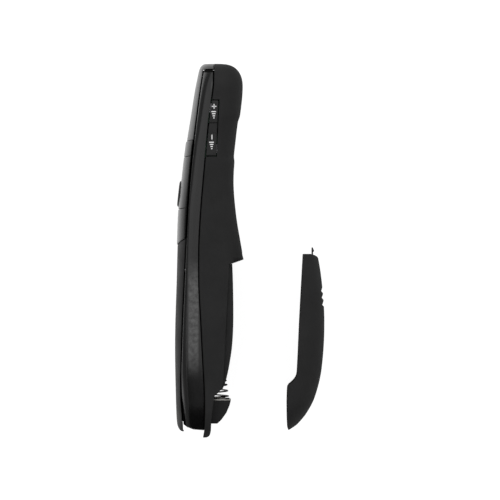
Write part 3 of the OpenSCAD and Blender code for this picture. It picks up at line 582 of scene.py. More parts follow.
class NodeMaker:
    """Builds one material's nodes."""

    def __init__(self, name):
        self.material = bpy.data.materials.new(name)
        self.material.use_nodes = True
        self.tree = self.material.node_tree
        self.tree.nodes.clear()
        self.shader = self.add("ShaderNodeBsdfPrincipled")
        self.out = self.add("ShaderNodeOutputMaterial")
        self.link(self.shader.outputs[0], self.out.inputs["Surface"])
        self.place = self.add("ShaderNodeTexCoord").outputs["Object"]

    def add(self, kind, **values):
        node = self.tree.nodes.new(kind)
        for key, value in values.items():
            setattr(node, key, value)
        return node

    def link(self, a, b):
        self.tree.links.new(a, b)

    def set(self, **values):
        """Sets shader sockets by name, with underscores for spaces."""
        for key, value in values.items():
            self.shader.inputs[key.replace("_", " ")].default_value = value

    def stretched(self, scale):
        """Coordinates that draw a pattern out along an axis."""
        node = self.add("ShaderNodeMapping")
        node.inputs["Scale"].default_value = scale
        self.link(self.place, node.inputs["Vector"])
        return node.outputs["Vector"]

    def noise(self, scale, detail=2.0, rough=0.5, vector=None):
        """Noise in Object coordinates, scale in repeats per metre."""
        node = self.add("ShaderNodeTexNoise")
        node.inputs["Scale"].default_value = scale
        node.inputs["Detail"].default_value = detail
        node.inputs["Roughness"].default_value = rough
        self.link(vector or self.place, node.inputs["Vector"])
        return node.outputs["Fac"]

    def ramp(self, value, stops):
        """Colours at (position, colour) stops of a value."""
        node = self.add("ShaderNodeValToRGB")
        elements = node.color_ramp.elements
        while len(elements) < len(stops):
            elements.new(0.5)
        for element, (position, colour) in zip(elements, stops):
            element.position = position
            element.color = (*colour, 1.0)
        self.link(value, node.inputs["Fac"])
        return node.outputs["Color"]

    def span(self, value, low, high, from_low=0.3, from_high=0.7):
        """Maps a value, as a rule a noise's middle, to low and high, held past its ends."""
        node = self.add("ShaderNodeMapRange")
        node.inputs["From Min"].default_value = from_low
        node.inputs["From Max"].default_value = from_high
        node.inputs["To Min"].default_value = low
        node.inputs["To Max"].default_value = high
        self.link(value, node.inputs["Value"])
        return node.outputs["Result"]

    def bump(self, height, strength, distance, under=None):
        """Normal of a relief, on top of another one if it is given."""
        node = self.add("ShaderNodeBump")
        node.inputs["Strength"].default_value = strength
        node.inputs["Distance"].default_value = distance
        self.link(height, node.inputs["Height"])
        if under:
            self.link(under, node.inputs["Normal"])
        return node.outputs["Normal"]

    def mottle(self, colour, scale, low=0.9, high=1.1, detail=3.0):
        """Base colour that varies a little from place to place."""
        noise = self.noise(scale, detail)
        stops = [(0.3, tint(colour, low)), (0.7, tint(colour, high))]
        self.link(self.ramp(noise, stops), self.shader.inputs["Base Color"])

    def painted_light_patch(self, colour, ranges):
        """Cloudy patch of another colour that paints light or shade; ranges give its ends and
        softness along X and Y.
        """
        axes = self.add("ShaderNodeSeparateXYZ")
        self.link(self.place, axes.inputs[0])
        fac = self.span(self.noise(*CLOUDS), CLOUD_LEAST, 1.0, *CLOUD_SPAN)
        for axis, (low, high, soft) in zip("XY", ranges):
            for edge, outside in ((low, low - soft), (high, high + soft)):
                inside = self.span(axes.outputs[axis], 0.0, 1.0, outside * MM, edge * MM)
                fac = self.times(fac, inside)
        mix = self.add("ShaderNodeMix", data_type="RGBA")
        below = self.shader.inputs["Base Color"].links[0].from_socket
        self.link(fac, mix.inputs["Factor"])
        self.link(below, mix.inputs["A"])
        mix.inputs["B"].default_value = (*colour, 1.0)
        self.link(mix.outputs["Result"], self.shader.inputs["Base Color"])

    def times(self, a, b):
        node = self.add("ShaderNodeMath", operation="MULTIPLY")
        self.link(a, node.inputs[0])
        self.link(b, node.inputs[1])
        return node.outputs[0]

    def gloss(self, value, low, high):
        """Roughness that varies between low and high."""
        self.link(self.span(value, low, high), self.shader.inputs["Roughness"])

    def finely(self, normal):
        """Gives the surface its fine relief."""
        self.link(normal, self.shader.inputs["Normal"])


def tint(colour, factor):
    """Lighter or darker version of a colour."""
    return tuple(c * factor for c in colour)


def grey(tone):
    """Neutral colour of one tone."""
    return tone, tone, tone


def moulded(name, colour, grain, rough, depth, sheen=0.26, painted_light_patch=None, where=None):
    """Black plastic from a textured mould: fine grain over faint flow marks and, if asked, a cloudy
    patch of painted shade.
    """
    n = NodeMaker(name)
    n.mottle(colour, scale=55.0, low=0.85, high=1.15)
    if painted_light_patch:
        n.painted_light_patch(painted_light_patch, where)
    n.gloss(n.noise(160.0, detail=4.0), rough - 0.04, rough + 0.05)
    flow = n.bump(n.noise(120.0), strength=0.2, distance=0.0001)
    n.finely(n.bump(n.noise(1 / grain, rough=0.6), strength=0.6, distance=depth, under=flow))
    n.set(IOR=1.5, Specular_IOR_Level=sheen)
    return n.material


def polished(name, colour, rough, sheen=0.5, painted_light_patch=None, where=None):
    """Glossy plastic with a slightly wavy skin, hairline scratches and, if asked, a cloudy patch of
    painted highlight.
    """
    n = NodeMaker(name)
    n.mottle(colour, scale=35.0, low=0.92, high=1.08)
    if painted_light_patch:
        n.painted_light_patch(painted_light_patch, where)
    hairlines = n.noise(9000.0, detail=1.0, vector=n.stretched((1.0, 0.04, 1.0)))
    n.gloss(hairlines, rough - 0.03, rough + 0.05)
    n.finely(n.bump(n.noise(260.0), strength=0.25, distance=WAVE))
    n.set(IOR=1.5, Specular_IOR_Level=sheen)
    return n.material


def rubber(name, colour):
    """Soft-touch rubber with a fine matt skin."""
    n = NodeMaker(name)
    n.mottle(colour, scale=300.0, low=1.0, high=1.5, detail=5.0)
    n.gloss(n.noise(900.0), 0.6, 0.78)
    n.finely(n.bump(n.noise(5200.0), strength=0.4, distance=0.00003))
    n.set(Sheen_Weight=0.1)
    return n.material


def metal(name, colour, rough, brushed=0.0, stains_and_glints=(0.85, 1.0)):
    """Plated or turned metal with fine drawn marks and a stained, mottled tone; the spring wire's
    dark tone and wide spread are painted shade and painted glints.
    """
    n = NodeMaker(name)
    n.mottle(colour, 420.0, *stains_and_glints)
    drawn = n.noise(12000.0, rough=0.6, vector=n.stretched((1.0, 1.0, 0.05)))
    n.gloss(drawn, rough, rough + 0.12 + brushed)
    n.finely(n.bump(drawn, strength=0.15 + brushed, distance=0.00001))
    n.set(Metallic=1.0)
    return n.material


def clear(name, colour, rough=0.05):
    """Clear or tinted transparent plastic or glass."""
    n = NodeMaker(name)
    n.mottle(colour, scale=200.0, low=0.95, high=1.0)
    n.gloss(n.noise(700.0, detail=3.0), rough, rough + 0.06)
    n.set(IOR=1.49, Transmission_Weight=0.9)
    return n.material


def circuit_board(name, colour):
    """Solder mask with copper tracks showing through."""
    n = NodeMaker(name)
    tracks = n.add("ShaderNodeTexBrick")
    for socket, value in (("Scale", 700.0), ("Mortar Size", 0.06), ("Color1", (*colour, 1)),
                          ("Color2", (*tint(colour, 0.8), 1)), ("Mortar", (*tint(colour, 1.9), 1))):
        tracks.inputs[socket].default_value = value
    n.link(n.place, tracks.inputs["Vector"])
    n.link(tracks.outputs["Color"], n.shader.inputs["Base Color"])
    n.finely(n.bump(tracks.outputs["Fac"], strength=0.3, distance=0.00003))
    n.gloss(n.noise(500.0), 0.25, 0.4)
    return n.material


def silicone(name, colour):
    """Milky translucent silicone."""
    n = NodeMaker(name)
    n.mottle(colour, scale=250.0, low=0.9, high=1.0)
    n.gloss(n.noise(600.0), 0.4, 0.55)
    n.set(Subsurface_Weight=0.3)
    return n.material


def printed(name, colour):
    """Pad-printed ink, slightly broken up by the grain under it."""
    n = NodeMaker(name)
    n.mottle(colour, scale=4000.0, low=0.8, high=1.0)
    n.gloss(n.noise(900.0), 0.5, 0.65)
    return n.material


def finish_of(name):
    """One of the finishes, made when it is first asked for."""
    made = bpy.data.materials.get(name)
    if made:
        return made
    look = bpy.context.scene.presenter_finish
    black, gloss, grain = tuple(look.shell_colour), tuple(look.gloss_colour), look.grain
    rough, shine = look.shell_roughness, look.gloss_roughness
    satin = tint(gloss, 1.1)
    recipes = {
        # The shell carries a near-black cloudy patch along the step's lower edge: painted shade
        # under the step
        "moulded shell": lambda: moulded(name, black, grain, rough, DEEP_GRAIN,
                                         painted_light_patch=grey(0.0003), where=SHELL_PAINTED_SHADE),
        "moulded cover": lambda: moulded(name, black, grain, rough, DEEP_GRAIN),
        # The band carries a pale grey cloudy patch near its seam: a painted highlight
        "polished band": lambda: polished(name, gloss, shine, painted_light_patch=grey(0.09), where=BAND_PAINTED_HIGHLIGHT),
        # Near-black and hardly reflecting: painted shade for the seam backing and for the band's end
        # under the upper panel
        "shade-painted black plastic": lambda: moulded(name, grey(0.006), grain, 0.9, LIGHT_GRAIN,
                                             sheen=0.05),
        "satin face": lambda: polished(name, satin, shine + 0.08, sheen=0.6),
        # Darker, less reflecting copy of the satin finishes for the flanks that look along Z:
        # painted shade
        "satin shaded flank": lambda: polished(name, satin, shine + 0.1, sheen=0.2),
        "satin key": lambda: polished(name, satin, shine + 0.02, sheen=0.2),
        "matt face": lambda: moulded(name, tint(black, 0.9), grain * 0.8, rough - 0.04, MILD_GRAIN),
        # Darker copy of the matt face for its flanks that look along Z: painted shade
        "matt shaded flank": lambda: moulded(name, tint(black, 0.7), grain * 0.8, rough, MILD_GRAIN,
                                      sheen=0.12),
        "rocker plastic": lambda: moulded(name, tint(black, 1.2), grain * 0.7, rough - 0.08,
                                          LIGHT_GRAIN),
        "inner plastic": lambda: moulded(name, tint(black, 0.9), grain * 1.3, rough + 0.03,
                                         MILD_GRAIN),
        "pad rubber": lambda: rubber(name, tint(black, 0.9)),
        "nickel plate": lambda: metal(name, (0.72, 0.70, 0.66), 0.16),
        # Dark tone with a wide, speckled spread: painted shade and painted glints on the coils
        "spring wire": lambda: metal(name, (0.16, 0.155, 0.15), 0.2, stains_and_glints=(0.1, 3.0)),
        "tarnished plate": lambda: metal(name, (0.42, 0.41, 0.39), 0.25, stains_and_glints=(0.35, 1.5)),
        "blackened steel": lambda: metal(name, grey(0.03), 0.45),
        "screw steel": lambda: metal(name, (0.55, 0.55, 0.57), 0.25, brushed=0.1),
        "turned brass": lambda: metal(name, (0.78, 0.57, 0.27), 0.2),
        "circuit board": lambda: circuit_board(name, (0.03, 0.16, 0.07)),
        "chip epoxy": lambda: moulded(name, grey(0.012), grain, 0.55, LIGHT_GRAIN),
        "silicone rubber": lambda: silicone(name, (0.6, 0.6, 0.57)),
        "light guide": lambda: clear(name, (0.85, 0.9, 0.92)),
        "lens glass": lambda: clear(name, (0.9, 0.93, 0.95), rough=0.01),
        "window filter": lambda: clear(name, (0.25, 0.015, 0.02)),
        "white insulator": lambda: polished(name, (0.7, 0.7, 0.67), 0.3),
        "white print": lambda: printed(name, tuple(look.print_colour)),
    }
    return recipes[name]()


# ------------------------------------------------------------ sections

BACK_STEPS, CORNER_STEPS, SIDE_STEPS, EDGE_STEPS = 22, 12, 8, 3
BAY_SIDE_STEPS = CORNER_STEPS + SIDE_STEPS - EDGE_STEPS
STEP_ANGLE = back_angle(STEP_IN[1], STEP_IN[0], 0)
STEP_TURN = 4
SLANT_TOP_Y = 6
MIDDLE_TOP = 0.97
MOST_SOFT = 0.3
LIP_STEP = 0.04


def edge_radius():
    """Rounding of the shells' edges in millimetres, as the panel sets it."""
    return bpy.context.scene.presenter_shape.edge_radius / MM


def behind_seam(y):
    """X of the rear shell's edge at the seam of the band."""
    return outline(y, BAND_SEAM) + SEAM


def tongue_ends():
    """Ends of the band's two tongues, which lap inside the rear shell below and above the rocker."""
    half = ROCKER_LENGTH / 2 + 2 * ROCKER_GAP
    low = BOTTOM_Y + BAND_BOTTOM[-1][1] + TONGUE_FROM
    return (low + TONGUE_GAP, ROCKER_Y - half), (ROCKER_Y + half, FACE_TOP_Y - TONGUE_GAP)


def rebate_ends():
    """Ends of the rebates that the tongues go into."""
    return [(low - TONGUE_GAP, high + TONGUE_GAP) for low, high in tongue_ends()]


def with_rebates(heights):
    """Adds a pair of heights at each end of a rebate, so that it starts and stops square."""
    turns = [y + side for ends in rebate_ends() for y in ends for side in (-HAIR, HAIR)]
    inside = [y for y in turns if min(heights) < y < max(heights)]
    return sorted(heights + inside, reverse=heights[0] > heights[-1])


def rebate(y, wall):
    """Reach and depth below the skin of the rear shell's edge at y, where the tongue goes."""
    if any(low <= y <= high for low, high in rebate_ends()):
        return TONGUE_REACH + TONGUE_GAP - SEAM, TONGUE_INSET - TONGUE_GAP
    return SLIVER, wall - SLIVER


def side_run(y, x0, x1, inset, steps):
    """Points along the upper side from x0 to x1, without the first."""
    return [on_side(y, x, inset) for x in spread(x0, x1, steps)[1:]]


def rounded_off(y, x, inset, soft, towards):
    """Rounds the skin over to an edge at x, from either side of it."""
    return [on_side(y, x - towards * d, inset + off) for d, off in rounding(soft)[1:]]


def rising_middle(points, x):
    """Closes a solid section: points on a line at x from the middle plane to the skin."""
    top = points[-1].z - MID_Z
    last = len(points) - 1
    return [Vector((x, points[-1].y, MID_Z + MIDDLE_TOP * top * k / last))
            for k in range(len(points))]


def drawn_in(points, x, share):
    """Draws a section towards a point on the middle line, to close a flat end."""
    return [Vector((x + (p.x - x) * share, p.y, MID_Z + (p.z - MID_Z) * share)) for p in points]


# Rear shell ---------------------------------------------------

def step_slant(x, y):
    """How far the back's lower end rises towards the outside, fading out upwards."""
    share = (min(x, STEP_OUT[0]) - STEP_IN[0]) / (STEP_OUT[0] - STEP_IN[0])
    fade = ramp((SLANT_TOP_Y - y) / (SLANT_TOP_Y - STEP_IN[1]))
    return max(0.0, share) * (STEP_OUT[1] - STEP_IN[1]) * fade


def rear_skin(y, inset, edge_x, soft, taken=0.0):
    """Skin of the upper rear shell from the middle of the back round to its front edge."""
    _, rear, _, _, lobe = ring(y, inset)
    start = max(rear - lobe, edge_x + soft + SLIVER)
    steps = spread(0, STEP_ANGLE, BACK_STEPS)
    steps += spread(STEP_ANGLE, back_angle(y, start, inset), CORNER_STEPS)[1:]
    points = []
    for i, angle in enumerate(steps):
        off = inset + taken * min(1.0, max(0, BACK_STEPS - i) / STEP_TURN)
        x = on_back(y, angle, off).x
        points.append(on_back(y + step_slant(x, y), angle, off))
    return points + side_run(y, start, edge_x + soft, inset, SIDE_STEPS)


def rear_section(y, taken=0.0, plate=False):
    """Half section of the closed part of the rear shell; the plate closes it at the step."""
    soft = edge_radius()
    edge_x = behind_seam(y)
    outer = rear_skin(y, 0, edge_x, soft, taken) + rounded_off(y, edge_x, 0, soft, -1)
    inner_y = min(y, TOP_Y - WALL - END_GAP)
    reach, depth = rebate(y, WALL)
    inner = rear_skin(inner_y, WALL, edge_x + reach, 0)
    inner += [on_side(inner_y, edge_x + reach * k, depth) for k in (1.0, 0.5, 0.0)]
    if plate:
        reach = inner[BACK_STEPS].z - MID_Z
        for i in range(BACK_STEPS + 1):
            inner[i] = Vector((STEP_IN[0], inner_y, MID_Z + reach * i / BACK_STEPS))
    return outer + inner[::-1]


def bay_section(y, bar=False, taken=0.0):
    """Section of the bay's side: skin, edge and the lip under the cover, or a solid bar."""
    seam_x = behind_seam(y) + taken
    edge_x = outline(y, BAY_EDGE)
    up = (TAB_BOTTOM_Y + TAB_CORNER - y) / TAB_CORNER
    if up > 0:
        edge_x = TAB_RIGHT - TAB_CORNER * (1 - math.sqrt(max(0.0, 1 - up * up)))
    edge_x -= taken
    soft = min(edge_radius(), (edge_x - seam_x) * MOST_SOFT)
    outer = rounded_off(y, edge_x, taken, soft, 1)[::-1] + [on_side(y, edge_x - soft, taken)]
    outer += side_run(y, edge_x - soft, seam_x + soft, taken, BAY_SIDE_STEPS)
    outer += rounded_off(y, seam_x, taken, soft, -1)
    if bar:
        return outer + [Vector((p.x, p.y, MID_Z)) for p in outer[::-1]]
    tall = y > LIP_LOW_Y
    lip_x = outline(y, LIP_EDGE) if tall else edge_x
    turn = [(lip_x - d * tall, LIP_INSET + max(off, LIP_STEP * k))
            for k, (d, off) in enumerate(rounding(soft))]
    inner = [on_side(y, x, inset) for x, inset in
             [(edge_x, LIP_INSET), ((edge_x + lip_x) / 2, LIP_INSET), *turn, (lip_x, BAY_WALL)]]
    reach, depth = rebate(y, BAY_WALL)
    inner += side_run(y, lip_x, seam_x + reach, BAY_WALL, len(outer) - len(inner) - EDGE_STEPS)
    inner += [on_side(y, seam_x + reach * k, depth) for k in (1.0, 0.5, 0.0)]
    return outer + inner[::-1]


def rocker_slot():
    """Cutter for the slot in the side that the rocker sits in, open to the band's seam."""
    half = ROCKER_LENGTH / 2 + ROCKER_GAP
    low_z, high_z = SLOT_CUT_Z
    sections = []
    for y in spread(ROCKER_Y - half, ROCKER_Y + half, 10):
        left = outline(y, BAND_SEAM) - 1
        right = smooth_value(y / STRETCH, ROCKER_BACK) + ROCKER_GAP
        sections.append([Vector((x, y, z)) for x, z in
                         ((left, low_z), (right, low_z), (right, high_z), (left, high_z))])
    bm = bmesh.new()
    add_bar(bm, sections)
    return finish_mesh(bm, "slot cutter")


def switch_window():
    """Cutter for the power slider's window in the side that faces the ground."""
    low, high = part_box("power_slider")
    x = (low.x + high.x) / MM / 2
    half_x, half_y = SWITCH_WINDOW
    return box_piece("window cutter", (x - half_x, SWITCH_Y - half_y, -1),
                     (x + half_x, SWITCH_Y + half_y, 4), radius=SWITCH_CORNER)


def latch_slot():
    """Cutter for the slot in the step that the cover's hook goes into."""
    low, high = (v / MM - COVER_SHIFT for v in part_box("cover_latch"))
    return box_piece("latch cutter", (low.x - LATCH_GAP, STEP_IN[1] - 1, low.z - LATCH_GAP),
                     (high.x + LATCH_BACK_GAP, STEP_OUT[1] + WALL + 1, high.z + LATCH_GAP))


def laser_hole():
    """Cutter for the laser's hole in the end wall."""
    return rod_piece("laser cutter", LASER_HOLE_R, (LASER_X, TOP_Y - 3 * WALL, MID_Z),
                     (LASER_X, TOP_Y + 1, MID_Z))


def make_rear_shell():
    """Closed shell above the step, the bay's side walls below it, and the bar at the tail."""
    soft = edge_radius()
    low = STEP_IN[1]
    sections = [rear_section(low + d, off, plate=True) for d, off in rounding(soft)[::-1]]
    sections.append(rear_section(low + WALL - SKIM, plate=True))
    heights = spread(low + WALL, TOP_FROM_Y, 62) + closing(TOP_FROM_Y, TOP_Y - END_GAP, 26)[1:]
    sections += [rear_section(y) for y in with_rebates(heights)]
    tip_x = behind_seam(TOP_Y)
    sections += [drawn_in(sections[-1], tip_x, share) for share in TIP_SHARES]
    bm = bmesh.new()
    first, last = loft(bm, sections)
    ladder(bm, last)
    ladder(bm, first, BACK_STEPS)
    row = first[BACK_STEPS:len(first) - BACK_STEPS]
    heights = spread(low, LIP_LOW_Y + SLIVER, 60) + spread(LIP_LOW_Y, BAR_TOP_Y, 24)
    sections = [bay_section(y) for y in with_rebates(heights)]
    ends = [(TAB_BOTTOM_Y + d, off) for d, off in rounding(soft)]
    sections += [bay_section(y, bar=True) for y in spread(BAR_TOP_Y, ends[0][0], 18)]
    sections += [bay_section(y, bar=True, taken=off) for y, off in ends[1:]]
    for places in sections:
        row = extrude_row(bm, row, places, closed=True)
    ladder(bm, row)
    mirror_half(bm)
    shell = finish_mesh(bm, "rear_shell")
    carve(shell, rocker_slot(), switch_window(), latch_slot(), laser_hole())
    return weigh_normals(shell)


# Front band ---------------------------------------------------

def band_low_shift(x, y):
    """How far the band's curved lower end rises towards the front, fading out upwards."""
    bottom = BAND_BOTTOM[-1][1]
    reach = END_WALL_Y - BOTTOM_Y - bottom
    return (straight_value(x, BAND_BOTTOM) - bottom) * ramp((END_WALL_Y - y) / reach)


def band_section(y, solid=False, taken=0.0):
    """Half section of the band: deck face, outer skin, edge, then back inside."""
    soft = edge_radius()
    face_y = y + band_low_shift(outline(y, FACE_SEAM), y)
    face_x = outline(face_y, FACE_SEAM)
    tail = ramp(BOTTOM_Y + BAND_BOTTOM[-1][1] + TAIL_LAP - y)
    back_x = outline(y, BAND_SEAM) + (SEAM - RIM_GAP / 2) * tail
    sag = TAIL_SAG * ramp((TAIL_FROM - y) / TAIL_RUN)

    def side(x, inset):
        return on_side(y + band_low_shift(x, y), x, inset + sag * (inset < WALL / 2))

    turn = [side(face_x + soft * (1 - math.cos(a)), taken + soft * (1 - math.sin(a)))
            for a in spread(0, math.pi / 2, EDGE_STEPS)]
    z_edge = turn[0].z - MID_Z
    outer = [Vector((face_x, turn[0].y, MID_Z + z_edge * k / 10)) for k in range(10)] + turn
    outer += [side(x, taken) for x in spread(face_x + soft, back_x - soft, 12)[1:]]
    outer += [side(back_x - soft * (1 - math.sin(a)), taken + soft * (1 - math.cos(a)))
              for a in spread(0, math.pi / 2, EDGE_STEPS)[1:]]
    if solid:
        return outer + rising_middle(outer, back_x)[::-1]
    inner_x = face_x + DECK
    inner = [side(back_x, WALL)] + [side(x, WALL) for x in spread(back_x, inner_x, 14)[1:]]
    count = len(outer) - len(inner)
    z_edge = inner[-1].z - MID_Z
    inner += [Vector((inner_x, y, MID_Z + z_edge * k / count)) for k in range(count - 1, -1, -1)]
    return outer + inner


def add_tongues(bm):
    """Strips inside the band's edge that lap inside the rear shell."""
    for low, high in tongue_ends():
        sections = []
        for y in spread(low, high, int(high - low)):
            seam_x = outline(y, BAND_SEAM)
            root, tip = seam_x - TONGUE_ROOT, seam_x + TONGUE_REACH
            sections.append([on_side(y, x, inset) for x, inset in
                             ((root, TONGUE_INSET), (tip, TONGUE_INSET), (tip, WALL + SKIM),
                              (root, WALL + SKIM))])
        add_bar(bm, sections)


def rib_top(y, z):
    """Top of a rib on the deck, clear of the panels and of the keys pressed down."""
    keys = KEY_Y[3] - RIB_PAST_KEYS < y < KEY_Y[0] + RIB_PAST_KEYS
    inset = PANEL_WALL + (KEY_TRAVEL - KEY_PROUD if keys else 0.0) + RIB_CLEAR
    front, _, half, lobe, _ = ring(y, inset)
    fall = lobe * (1 - (1 - (z / half) ** SQUARENESS) ** (1 / SQUARENESS))
    return max(outline(y, FACE_SEAM) - RIB_HEIGHT, front + fall)


def add_rib(bm, heights, z0, z1):
    """Rib on the deck that closes the view through the grooves beside the face."""
    sections = []
    for y in heights:
        top, root = rib_top(y, z1), outline(y, FACE_SEAM) + DECK / 2
        sections.append([Vector((x, y, MID_Z + z)) for x, z in
                         ((top, z0), (top, z1), (root, z1), (root, z0))])
    add_bar(bm, sections)


def add_ribs(bm):
    """The upper one of the pair along the keys, and the upper half of the one in the middle."""
    low, high = KEY_Y[3] - RIB_PAST_KEYS, KEY_Y[0] + RIB_PAST_KEYS
    heights = spread(FACE_BOTTOM_Y + 2 * PANEL_WALL + 1, low - HAIR, 24)
    heights += spread(low + HAIR, high - HAIR, 24) + spread(high + HAIR, LIGHT_Y + 4, 3)
    add_rib(bm, heights, RIB_Z, RIB_Z + RIB_WALL)
    add_rib(bm, spread(LIGHT_Y + 3, FOOT_Y[0] - SKIM, 8), 0, RIB_WALL / 2)


def make_front_band():
    """Band round the keys' deck, with the receiver's mouth and the holes of stems and light."""
    soft = edge_radius()
    low, high = BOTTOM_Y + BAND_BOTTOM[-1][1], FACE_TOP_Y
    sections = [band_section(low + d, True, off) for d, off in rounding(soft)[::-1]]
    sections += [band_section(y, True) for y in spread(low + soft, END_WALL_Y, 6)[1:]]
    sections += [band_section(y) for y in spread(END_WALL_Y, high - DECK, 90)]
    sections += [band_section(y, True) for y in spread(high - DECK, high - soft, 3)]
    sections += [band_section(high - d, True, off) for d, off in rounding(soft)[1:]]
    bm = lofted_wall(sections)
    mirror_half(bm)
    band = finish_mesh(bm, "front_band")
    low_bay, high_bay = (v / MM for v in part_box("receiver_body"))
    cutters = [box_piece("mouth cutter", (low_bay.x - SKIM, low - 4, low_bay.z - SKIM),
                         (high_bay.x + SKIM, END_WALL_Y + 4, high_bay.z + SKIM),
                         radius=MOUTH_CORNER, axis="y")]
    cutters += [face_drill("stem cutter", STEM_HOLE_R, y) for y in KEY_CENTRES]
    cutters.append(face_drill("light cutter", LIGHT_BORE_R, LIGHT_Y))
    carve(band, *cutters)
    return weigh_normals(band)


def face_drill(name, radius, y):
    """Cutter for a round hole through the face at y."""
    low_x, high_x = FACE_CUT_X
    return rod_piece(name, radius, (low_x, y, MID_Z), (high_x, y, MID_Z))


def make_seam_backing():
    """The strips and ribs that are seen through the band's seams."""
    bm = bmesh.new()
    add_tongues(bm)
    add_ribs(bm)
    mirror_half(bm)
    return finish_mesh(bm, "seam_backing")


# Key face -----------------------------------------------------

FACE_STEPS = 30
LEAST_FLANK = 0.3


def face_section(y_of, y, edge_of, inset, thick, taken=0.0, solid=False, clip=None,
                 inner_y=None):
    """Half section of a piece of the key face, from the middle to its edge and back inside."""
    soft = edge_radius()
    edge_x = edge_of(y_of(y, MID_Z + ring(y, inset)[2]))
    if clip is not None:
        edge_x = max(edge_x, clip + LEAST_FLANK)
    end = front_angle(y, edge_x - soft, inset + taken)

    def place(angle, off, at):
        z = on_front(at, angle, off).z
        return on_front(y_of(at, z), angle, off)

    outer = [place(a, inset + taken, y) for a in spread(0, end, FACE_STEPS)]
    outer += [on_side(y_of(y, outer[-1].z), edge_x - d, inset + taken + off)
              for d, off in rounding(soft)[1:]]
    if clip is not None:
        for p in outer:
            p.x = max(p.x, clip)
    if solid:
        return outer + rising_middle(outer, edge_x)[::-1]
    inner_y = y if inner_y is None else inner_y
    inner_end = front_angle(inner_y, edge_x, inset + thick)
    inner = [place(a, inset + thick, inner_y) for a in spread(0, inner_end, FACE_STEPS)]
    inner += [on_side(y_of(inner_y, inner[-1].z), edge_x, inset + thick - SKIM * k)
              for k in range(1, EDGE_STEPS + 1)]
    return outer + inner[::-1]


def rise(z, sag):
    """How far a seam bowed by sag at the sides has risen at z."""
    if not sag:
        return 0.0
    radius = (MID_Z ** 2 + sag ** 2) / (2 * sag)
    return radius - math.sqrt(radius ** 2 - (z - MID_Z) ** 2)


def bowed(low, low_sag, high, high_sag):
    """Bends heights into the bow of the seam at low and of the seam at high, blended between."""
    def y_of(y, z):
        share = min(1.0, max(0.0, (y - low) / (high - low)))
        return y + rise(z, low_sag) * (1 - share) + rise(z, high_sag) * share
    return y_of


def ended(y0, y1, n, soft):
    """Heights from y0 to y1 with both ends rounded: (y, taken) pairs."""
    low = [(y0 + d, off) for d, off in rounding(soft)[::-1]]
    high = [(y1 - d, off) for d, off in rounding(soft)]
    return low + [(y, 0.0) for y in spread(y0 + soft, y1 - soft, n)[1:-1]] + high


def key_cap(seam):
    """Cap between a seam of the keys and the one above it."""
    low, high = KEY_Y[seam] + KEY_GAP, KEY_Y[seam - 1] - KEY_GAP
    y_of = bowed(low, SEAM_SAG[seam], high, SEAM_SAG[seam - 1])
    steps = max(8, int(high - low) * 2)

    def edge_of(y):
        return outline(y, FACE_SEAM) - SIDE_GROOVE

    sections = [face_section(y_of, y, edge_of, -KEY_PROUD, PANEL_WALL, off)
                for y, off in ended(low, high, steps, edge_radius())]
    bm = lofted_wall(sections)
    mirror_half(bm)
    return bm


def add_stem(bm, top, y, node):
    """Stem from the underside of a key down to its dome."""
    add_rod(bm, STEM_R, (top, y, MID_Z), (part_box(node)[1].x / MM, y, MID_Z), 32)


def pad_axis():
    """Point on the face under the pad and the direction in which the pad looks inwards."""
    half = PAD_D / 2
    lean = outline(PAD_Y + half, FRONT_LINE) - outline(PAD_Y - half, FRONT_LINE)
    face = Vector((outline(PAD_Y, FRONT_LINE), PAD_Y, MID_Z))
    return face, Vector((PAD_D, -lean, 0)).normalized()


def make_keys():
    """Caps of the three long keys, the middle one with the pad's hole, each with its stem."""
    for seam, node, stem_y in ((1, "laser_key", KEY_CENTRES[0]),
                               (2, "forward_key", KEY_CENTRES[1]),
                               (3, "back_key", KEY_CENTRES[3])):
        cap = finish_mesh(key_cap(seam), node + "_skin")
        if node == "forward_key":
            face, inwards = pad_axis()
            carve(cap, rod_piece("pad cutter", PAD_HOLE_R, face - inwards * 4,
                                 face + inwards * 4, segments=128))
        bm = bmesh.new()
        bm.from_mesh(cap.data)
        bpy.data.objects.remove(cap)
        top = outline(stem_y, FRONT_LINE) + PANEL_WALL - KEY_PROUD
        add_stem(bm, top - STEM_LAP, stem_y, node)
        cap = weigh_normals(finish_mesh(bm, node + "_cap"))
        dress(cap, node, "satin key", "panel_gloss", node)
        # The flanks that look along Z get the darker copy: painted shade
        paint_flank_shade(cap, "satin shaded flank")


def make_pad():
    """Round pad that leans with the face: a shallow dish with a rolled rim, on a straight stem."""
    r = PAD_D / 2
    face, inwards = pad_axis()
    rim = [(r - PAD_RIM + PAD_RIM * math.sin(a), PAD_RIM_DROP + PAD_RIM * (1 - math.cos(a)))
           for a in spread(PAD_RIM_FROM, math.pi / 2, 8)]
    profile = PAD_DISH + rim + [(r, PAD_THICK - PAD_CHAMFER), (r - PAD_CHAMFER, PAD_THICK),
                                (0.0, PAD_THICK)]
    bm = bmesh.new()
    add_turned(bm, profile, face - inwards * (KEY_PROUD + PAD_PROUD), inwards)
    add_stem(bm, face.x, PAD_Y, "pad_key")
    return weigh_normals(finish_mesh(bm, "pad"))


